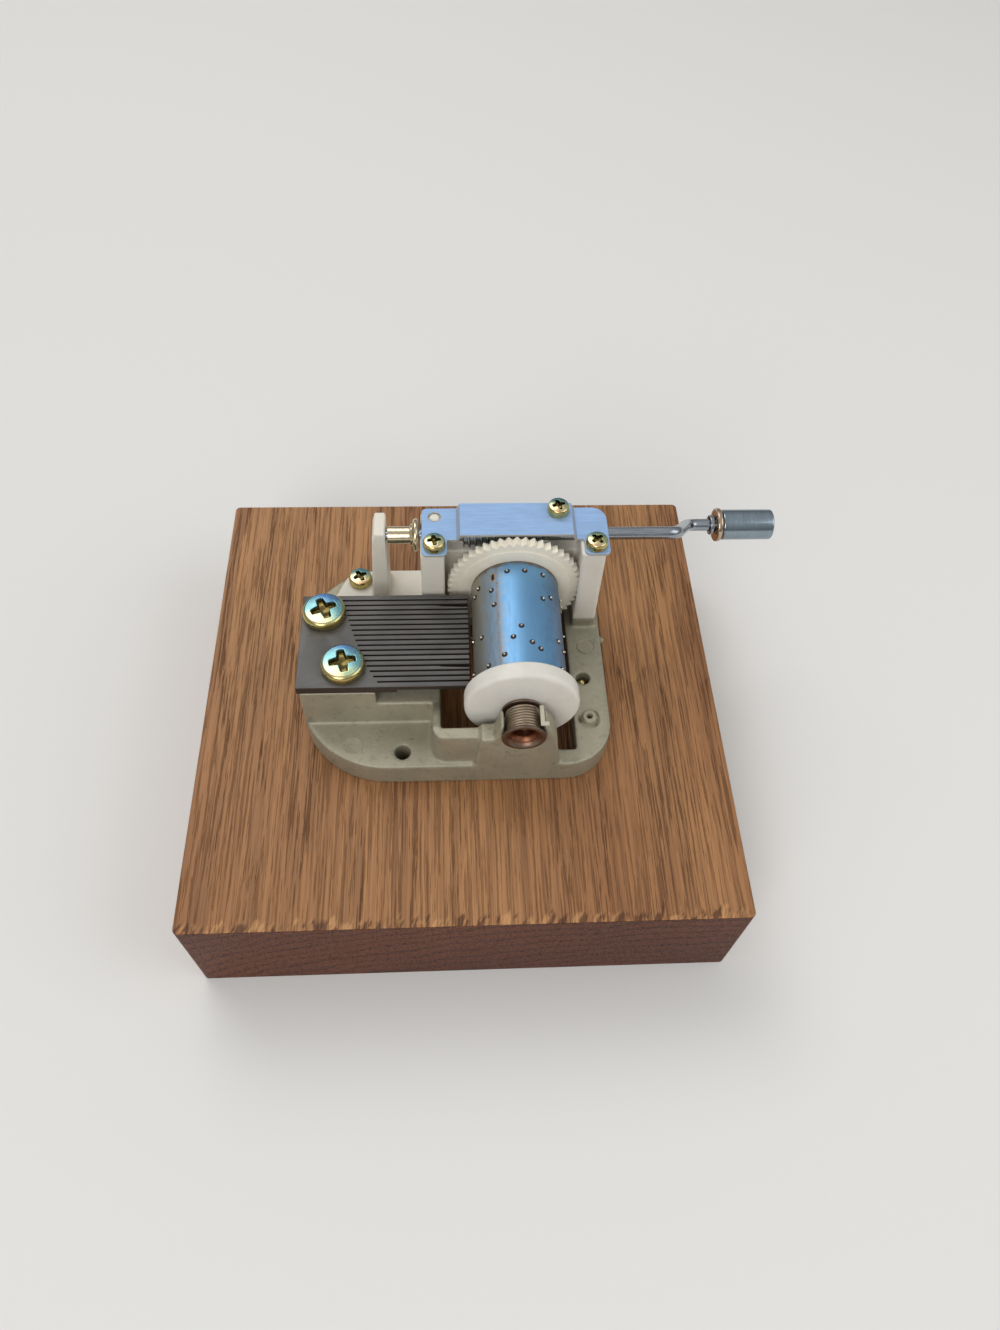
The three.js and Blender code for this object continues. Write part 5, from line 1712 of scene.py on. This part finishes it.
    def spring(self) -> None:
        """The wrap spring: a close helix round Y carried by a small circle square to it."""
        low, high = span("spool")
        wire, inner = self.coil_size()
        first, last = high[1] - self.spool_ring - wire, low[1] + self.spool_lip + wire
        angle = np.linspace(0, self.coils * TURN, self.coils * 48)
        along = first + (last - first) * angle / angle[-1]
        outwards = np.stack([np.cos(angle), 0 * angle, np.sin(angle)], -1)
        line = outwards * (inner + wire) + self.centre
        line[:, 1] += along
        forwards = np.broadcast_to([0.0, 1.0, 0.0], outwards.shape)
        surface = capped(carried(line, outwards, forwards, 0.97 * wire, 14))
        Maker.piece("spring_coils", surface, SPRING_WIRE, "base", "wrap_spring", angle=60)


@dataclass
class Bridge:
    """The nylon bracket, the steel plate over the worm, and their screws.

    Attributes:
        voxel: Mesh size of the bracket's skin, in millimetres.
        rounds: Rounds of smoothing that wear its edges.
        plate_ease: How far the plate's edges are rounded.
        stop_ease: How far the stop's edges are rounded.
        screw_height: Height of a screw's head.
        screw_shank: Radius of its shank.
        turns: How far each screw's cross is turned, in degrees.
    """

    voxel: float = 0.22
    rounds: int = 5
    plate_ease: float = 0.13
    stop_ease: float = 0.08
    screw_height: float = 1.6
    screw_shank: float = 0.6
    turns: tuple[tuple[str, float], ...] = (
        ("plate_screw_left", 8.0), ("plate_screw_right", 40.0), ("plate_screw_rear", 18.0),
        ("bracket_screw", 30.0))

    def build(self) -> None:
        """Makes the bracket, the plate, the small stop and the screws."""
        Maker.softened_copy(
            "gear_bracket", "bracket_moulding", CREAM_NYLON, "base", self.voxel, self.rounds)
        Maker.eased_copy("top_plate", "pressed_plate", PLATE_ZINC, "base", self.plate_ease, 3)
        Maker.eased_copy("spring_stop", "stop_strip", STOP_CREAM, "base", self.stop_ease, 2)
        for node, turn in self.turns:
            Screw(node, self.screw_height, self.screw_shank, turn).build()


@dataclass
class Crank:
    """The bent wire with its worm, end sleeve, collar and knob.

    Attributes:
        reach: Where the arm's middle line leaves the shaft's, in millimetres.
        lean: How far the arm leans outwards over its length.
        bend: Length that each bend takes from the straight on both sides.
        radius: The wire's radius.
        spigot: Its radius inside the end sleeve.
        fit: Room round the wire in the worm, the collar and the knob.
        worm_root: Radius at the bottom of the thread.
        worm_crest: Largest radius of the thread.
        worm_sides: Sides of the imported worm, whose box is that much smaller than its thread.
        worm_flank: Where the thread's sides start and end, as shares of a turn from its middle.
        worm_steps: Rows of points in one turn of the thread.
        worm_segments: Points round the worm.
        worm_teeth: Teeth on the gear's back.
        face_radius: Radius at which they meet the thread.
        sleeve_bore: The end sleeve's bore.
        sleeve_tube: Radius of its tube.
        sleeve_ring: Radius of its small ring at the front and at the back.
        sleeve_flange: Length of its cone and flange.
        grip: Radius of the knob's grip.
        neck: Radius of its neck.
        neck_length: Length of its neck.
        flange_thickness: Thickness of its flange.
        knob_depth: Depth of its hole.
        shaft: A point on the shaft's axis.
        pin: A point on the knob's axis.
        drum: A point on the drum's axis.
    """

    reach: float = 35.75
    lean: float = 4.35
    bend: float = 1.7
    radius: float = 1.05
    spigot: float = 0.75
    fit: float = 0.3
    worm_root: float = 1.66
    worm_crest: float = 2.1
    worm_sides: int = 10
    worm_flank: tuple[float, float] = (0.11, 0.24)
    worm_steps: int = 24
    worm_segments: int = 56
    worm_teeth: int = 50
    face_radius: float = 8.1
    sleeve_bore: float = 1.05
    sleeve_tube: float = 1.42
    sleeve_ring: tuple[float, float] = (1.75, 1.85)
    sleeve_flange: float = 1.05
    grip: float = 2.65
    neck: float = 2.0
    neck_length: float = 0.2
    flange_thickness: float = 0.9
    knob_depth: float = 8.2
    shaft: Array = field(default_factory=lambda: joint_place("crank_turn") * [0, 1, 1])
    pin: Array = field(default_factory=lambda: joint_place("knob_spin") * [0, 1, 1])
    drum: Array = field(default_factory=lambda: joint_place("drum_turn"))

    def build(self) -> None:
        """Makes the crank's pieces and the knob."""
        self.wire()
        self.worm()
        self.sleeve()
        self.collar()
        self.knob()

    def wire(self) -> None:
        """A circle carried along the bent middle line. The line lies in one plane, so the circle's
        first direction is that plane's normal and its second is square to both."""
        low, high = span("crank_wire")
        _, sleeve = span("end_sleeve")
        ahead = np.array([1.0, 0, 0])
        line = self.rounded_line(np.array([
            self.shaft + ahead * (sleeve[0] + self.fit), self.shaft + ahead * self.reach,
            self.pin + ahead * (self.reach + self.lean), self.pin + ahead * high[0]]))
        normal = np.cross(ahead, self.pin - self.shaft)
        normal = np.broadcast_to(normal / np.linalg.norm(normal), line.shape)
        forwards = np.gradient(line, axis=0)
        forwards /= np.linalg.norm(forwards, axis=1)[:, None]
        across = np.cross(forwards, normal)
        tube = carried(line, normal, across, self.radius, 28)
        shoulder = carried(line[:1], normal[:1], across[:1], self.spigot, 28)
        end = shoulder + ahead * (low[0] - line[0, 0])
        surface = capped(np.concatenate([end, shoulder, tube]))
        Maker.piece("crank_rod", surface, NICKEL, "crank", "crank_wire")

    def rounded_line(self, corners: Array) -> Array:
        """The crank's middle line: straights joined by quadratic bends.

        Args:
            corners: Start, elbow, knee and end.

        Returns:
            Points along the line.
        """
        t = np.linspace(0, 1, 22)[:, None]
        pieces = [corners[:1]]
        for before, corner, after in zip(corners[:-2], corners[1:-1], corners[2:]):
            first = corner + (before - corner) * self.bend / np.linalg.norm(before - corner)
            last = corner + (after - corner) * self.bend / np.linalg.norm(after - corner)
            pieces.append(bend(first, corner, last, t))
        pieces.append(corners[-1:])
        return np.vstack(pieces)

    def worm(self) -> None:
        """The thread: a right-handed helix, its radius a trapezoid of the distance along X less the
        share of a turn, so that a groove meets the gear's upright face tooth."""
        low, high = span("worm")
        crest = min((high[2] - low[2]) / 2 / math.cos(math.pi / self.worm_sides), self.worm_crest)
        pitch = TURN * self.face_radius / self.worm_teeth
        along = np.arange(low[0], high[0], pitch / self.worm_steps)
        along[-1] = high[0]
        turn = round_angles(self.worm_segments)
        phase = ((along[:, None] - self.drum[0]) / pitch - turn / TURN) % 1
        thread = 1 - smooth(np.abs(phase - 0.5), *self.worm_flank)
        r = self.worm_root + (crest - self.worm_root) * thread
        bore = np.full((1, len(turn)), self.radius + self.fit)
        r = np.concatenate([bore, r, bore])
        h = np.concatenate([along[:1], along, along[-1:]])[:, None]
        points = Axis.X.place(-r * np.cos(turn), -r * np.sin(turn), h, self.shaft)
        surface = points.reshape(-1, 3), grid_faces(*points.shape[:2], ring=True)
        Maker.piece("worm_thread", surface, NICKEL, "crank", "worm", angle=50)

    def sleeve(self) -> None:
        """The end sleeve: a tube, a small ring and a cone up to a thin round flange."""
        low, high = span("end_sleeve")
        flange = (high[2] - low[2]) / 2
        bore, tube, shoulder = self.sleeve_bore, self.sleeve_tube, high[0] - self.sleeve_flange
        front, back = self.sleeve_ring
        corners = np.array([
            [bore, low[0]], [tube, low[0]], [tube, shoulder - 0.35], [front, shoulder - 0.3],
            [back, shoulder + 0.05], [flange - 0.25, shoulder + 0.15], [flange, shoulder + 0.45],
            [flange, high[0] - 0.3], [flange - 0.3, high[0]], [bore, high[0]]])
        surface = revolved(eased(corners, 0.12, 5), Axis.X, self.shaft, 80, ring=True)
        Maker.piece("end_sleeve_turned", surface, GILT_NICKEL, "crank", "end_sleeve")

    def collar(self) -> None:
        """The small collar that keeps the knob on its pin."""
        low, high = span("knob_collar")
        radius, bore = (high[2] - low[2]) / 2, self.radius + self.fit
        corners = np.array([[bore, low[0]], [radius, low[0]], [radius, high[0]], [bore, high[0]]])
        surface = revolved(eased(corners, 0.18, 5), Axis.X, self.pin, 64, ring=True)
        Maker.piece("collar_ring", surface, NICKEL, "crank", "knob_collar")

    def knob(self) -> None:
        """The knob: flange, neck and grip in one turned piece with eased edges. The flange and the
        neck are marked for a painted reflection of the wood."""
        low, high = span("crank_knob")
        flange, bore = (high[2] - low[2]) / 2, self.radius + self.fit
        face = low[0] + self.flange_thickness
        grip, floor = face + self.neck_length, low[0] + self.knob_depth
        corners = np.array([
            [bore, low[0]], [flange, low[0]], [flange, face], [self.neck, face],
            [self.neck, grip], [self.grip, grip], [self.grip, high[0]], [0, high[0]]])
        radii = [0.1, 0.3, 0.3, 0.08, 0.08, 0.3, 0.45, 0]
        profile = eased(corners, radii, 8, closed=False)
        profile = np.vstack([profile, [[0, floor], [bore, floor]], profile[:1]])
        points, faces = revolved(profile, Axis.X, self.pin, 96)
        # Painted reflection of the wood on the flange and the neck.
        painted_wood_reflection = 1 - smooth(points[:, 0], grip - 0.1, grip + 0.1)
        marks = {"bare": painted_wood_reflection}
        Maker.piece("knob_turned", (points, faces), CHROME, "knob", "crank_knob", marks=marks)


@dataclass(frozen=True)
class Lamp:
    """A soft square lamp that points at the object.

    Attributes:
        name: Its name.
        place: Where it hangs, in metres.
        power: Its power, in watts.
        colour: Its colour.
        size: Its side, in metres.
        target: What it points at, in metres.
    """

    name: str
    place: Triple
    power: float
    colour: Colour
    size: float = 0.5
    target: Triple = (0.0, 0.0, 0.03)

    def build(self) -> None:
        """Makes the lamp."""
        data = bpy.data.lights.new(self.name, "AREA")
        data.shape, data.size, data.energy, data.color = (
            "SQUARE", self.size, self.power, self.colour)
        made = bpy.data.objects.new(self.name, data)
        made.location = self.place
        made.rotation_mode = "QUATERNION"
        towards = Vector(self.target) - Vector(self.place)
        made.rotation_quaternion = towards.to_track_quat("-Z", "Y")
        bpy.context.scene.collection.objects.link(made)


@dataclass
class Studio:
    """Floor, lights and the camera at the photograph's place.

    Attributes:
        focal: Focal length in pixels of the 1000 by 1330 frame.
        frame_height: Height of that frame, in pixels.
        sensor: The camera's sensor, in millimetres.
        pitch: How far the camera looks down, in degrees.
        yaw: How far it looks to the left.
        roll: How far it is rolled.
        eye: Where it stands, in millimetres.
        paper: Colour of the floor.
        floor_half: Half of the floor's side, in metres.
        lamps: A broad key from behind on the left, a fill from the right and one high in front.
        sky: Grey of the surround near the ground and overhead.
        sky_strength: Its strength.
    """

    focal: float = 957.2
    frame_height: float = 1330.0
    sensor: float = 36.0
    pitch: float = 55.776
    yaw: float = -5.343
    roll: float = 3.531
    eye: Triple = (-2.24, -91.27, 163.38)
    paper: Colour = (0.80, 0.79, 0.77)
    floor_half: float = 3.0
    lamps: tuple[Lamp, ...] = (
        Lamp("key", (-0.25, 0.42, 0.72), 2.0, (1.0, 0.99, 0.97)),
        Lamp("fill", (0.55, -0.15, 0.5), 1.2, (0.97, 0.99, 1.0)),
        Lamp("front", (-0.28, -0.66, 0.55), 2.7, (1.0, 1.0, 1.0)))
    sky: tuple[float, float] = (0.16, 0.85)
    sky_strength: float = 0.62

    def build(self) -> None:
        """Makes the studio."""
        self.camera()
        self.floor()
        for lamp in self.lamps:
            lamp.build()
        self.world()
        bpy.context.scene.view_settings.view_transform = "Standard"

    def camera(self) -> None:
        """The camera: its axes follow from pitch, yaw and roll."""
        p, y, r = (math.radians(v) for v in (self.pitch, self.yaw, self.roll))
        ahead = Vector((-math.sin(y) * math.cos(p), math.cos(y) * math.cos(p), -math.sin(p)))
        level = Vector((math.cos(y), math.sin(y), 0))
        up = level.cross(ahead)
        right = level * math.cos(r) + up * math.sin(r)
        top = up * math.cos(r) - level * math.sin(r)
        data = bpy.data.cameras.new("photo_camera")
        data.sensor_fit = "AUTO"
        data.sensor_width = self.sensor
        data.lens = self.focal / self.frame_height * self.sensor
        data.clip_start, data.clip_end = 0.001, 10
        made = bpy.data.objects.new("photo_camera", data)
        basis = Matrix((right, top, -ahead)).transposed().to_4x4()
        made.matrix_world = Matrix.Translation(Vector(self.eye) * MM) @ basis
        bpy.context.scene.collection.objects.link(made)
        bpy.context.scene.camera = made

    def floor(self) -> None:
        """A wide pale floor with its own plain finish."""
        half = self.floor_half
        corners = [(-half, -half, 0), (half, -half, 0), (half, half, 0), (-half, half, 0)]
        mesh = bpy.data.meshes.new("floor")
        mesh.from_pydata(corners, [], [(0, 1, 2, 3)])
        paper = bpy.data.materials.new("floor_paper")
        paper.use_nodes = True
        tree = Tree(paper.node_tree)
        shader = tree.add("ShaderNodeBsdfPrincipled", {"Base Color": self.paper, "Roughness": 0.9})
        tree.add("ShaderNodeOutputMaterial", {"Surface": shader.outputs[0]})
        mesh.materials.append(paper)
        made = Maker.linked("floor", mesh)

    def world(self) -> None:
        """A soft grey surround, darker towards the ground, so that metal has something to show."""
        world = bpy.data.worlds.new("surround")
        bpy.context.scene.world = world
        world.use_nodes = True
        tree = Tree(world.node_tree)
        where = tree.add("ShaderNodeTexCoord").outputs["Generated"]
        light = tree.grey(tree.span(tree.parts(where)[2], -0.2, 0.9, *self.sky))
        shader = tree.add("ShaderNodeBackground", {"Color": light, "Strength": self.sky_strength})
        tree.add("ShaderNodeOutputWorld", {"Surface": shader.outputs[0]})


def main() -> None:
    """Builds the scene in order, the studio and then each sub-assembly."""
    logging.basicConfig(level=logging.INFO, format="%(name)s %(message)s")
    for assembly in (Studio(), Block(), Bedplate(), Drum(), Bridge(), Crank()):
        assembly.build()
        log.info("%s done", type(assembly).__name__)


if __name__ == "__main__":
    main()
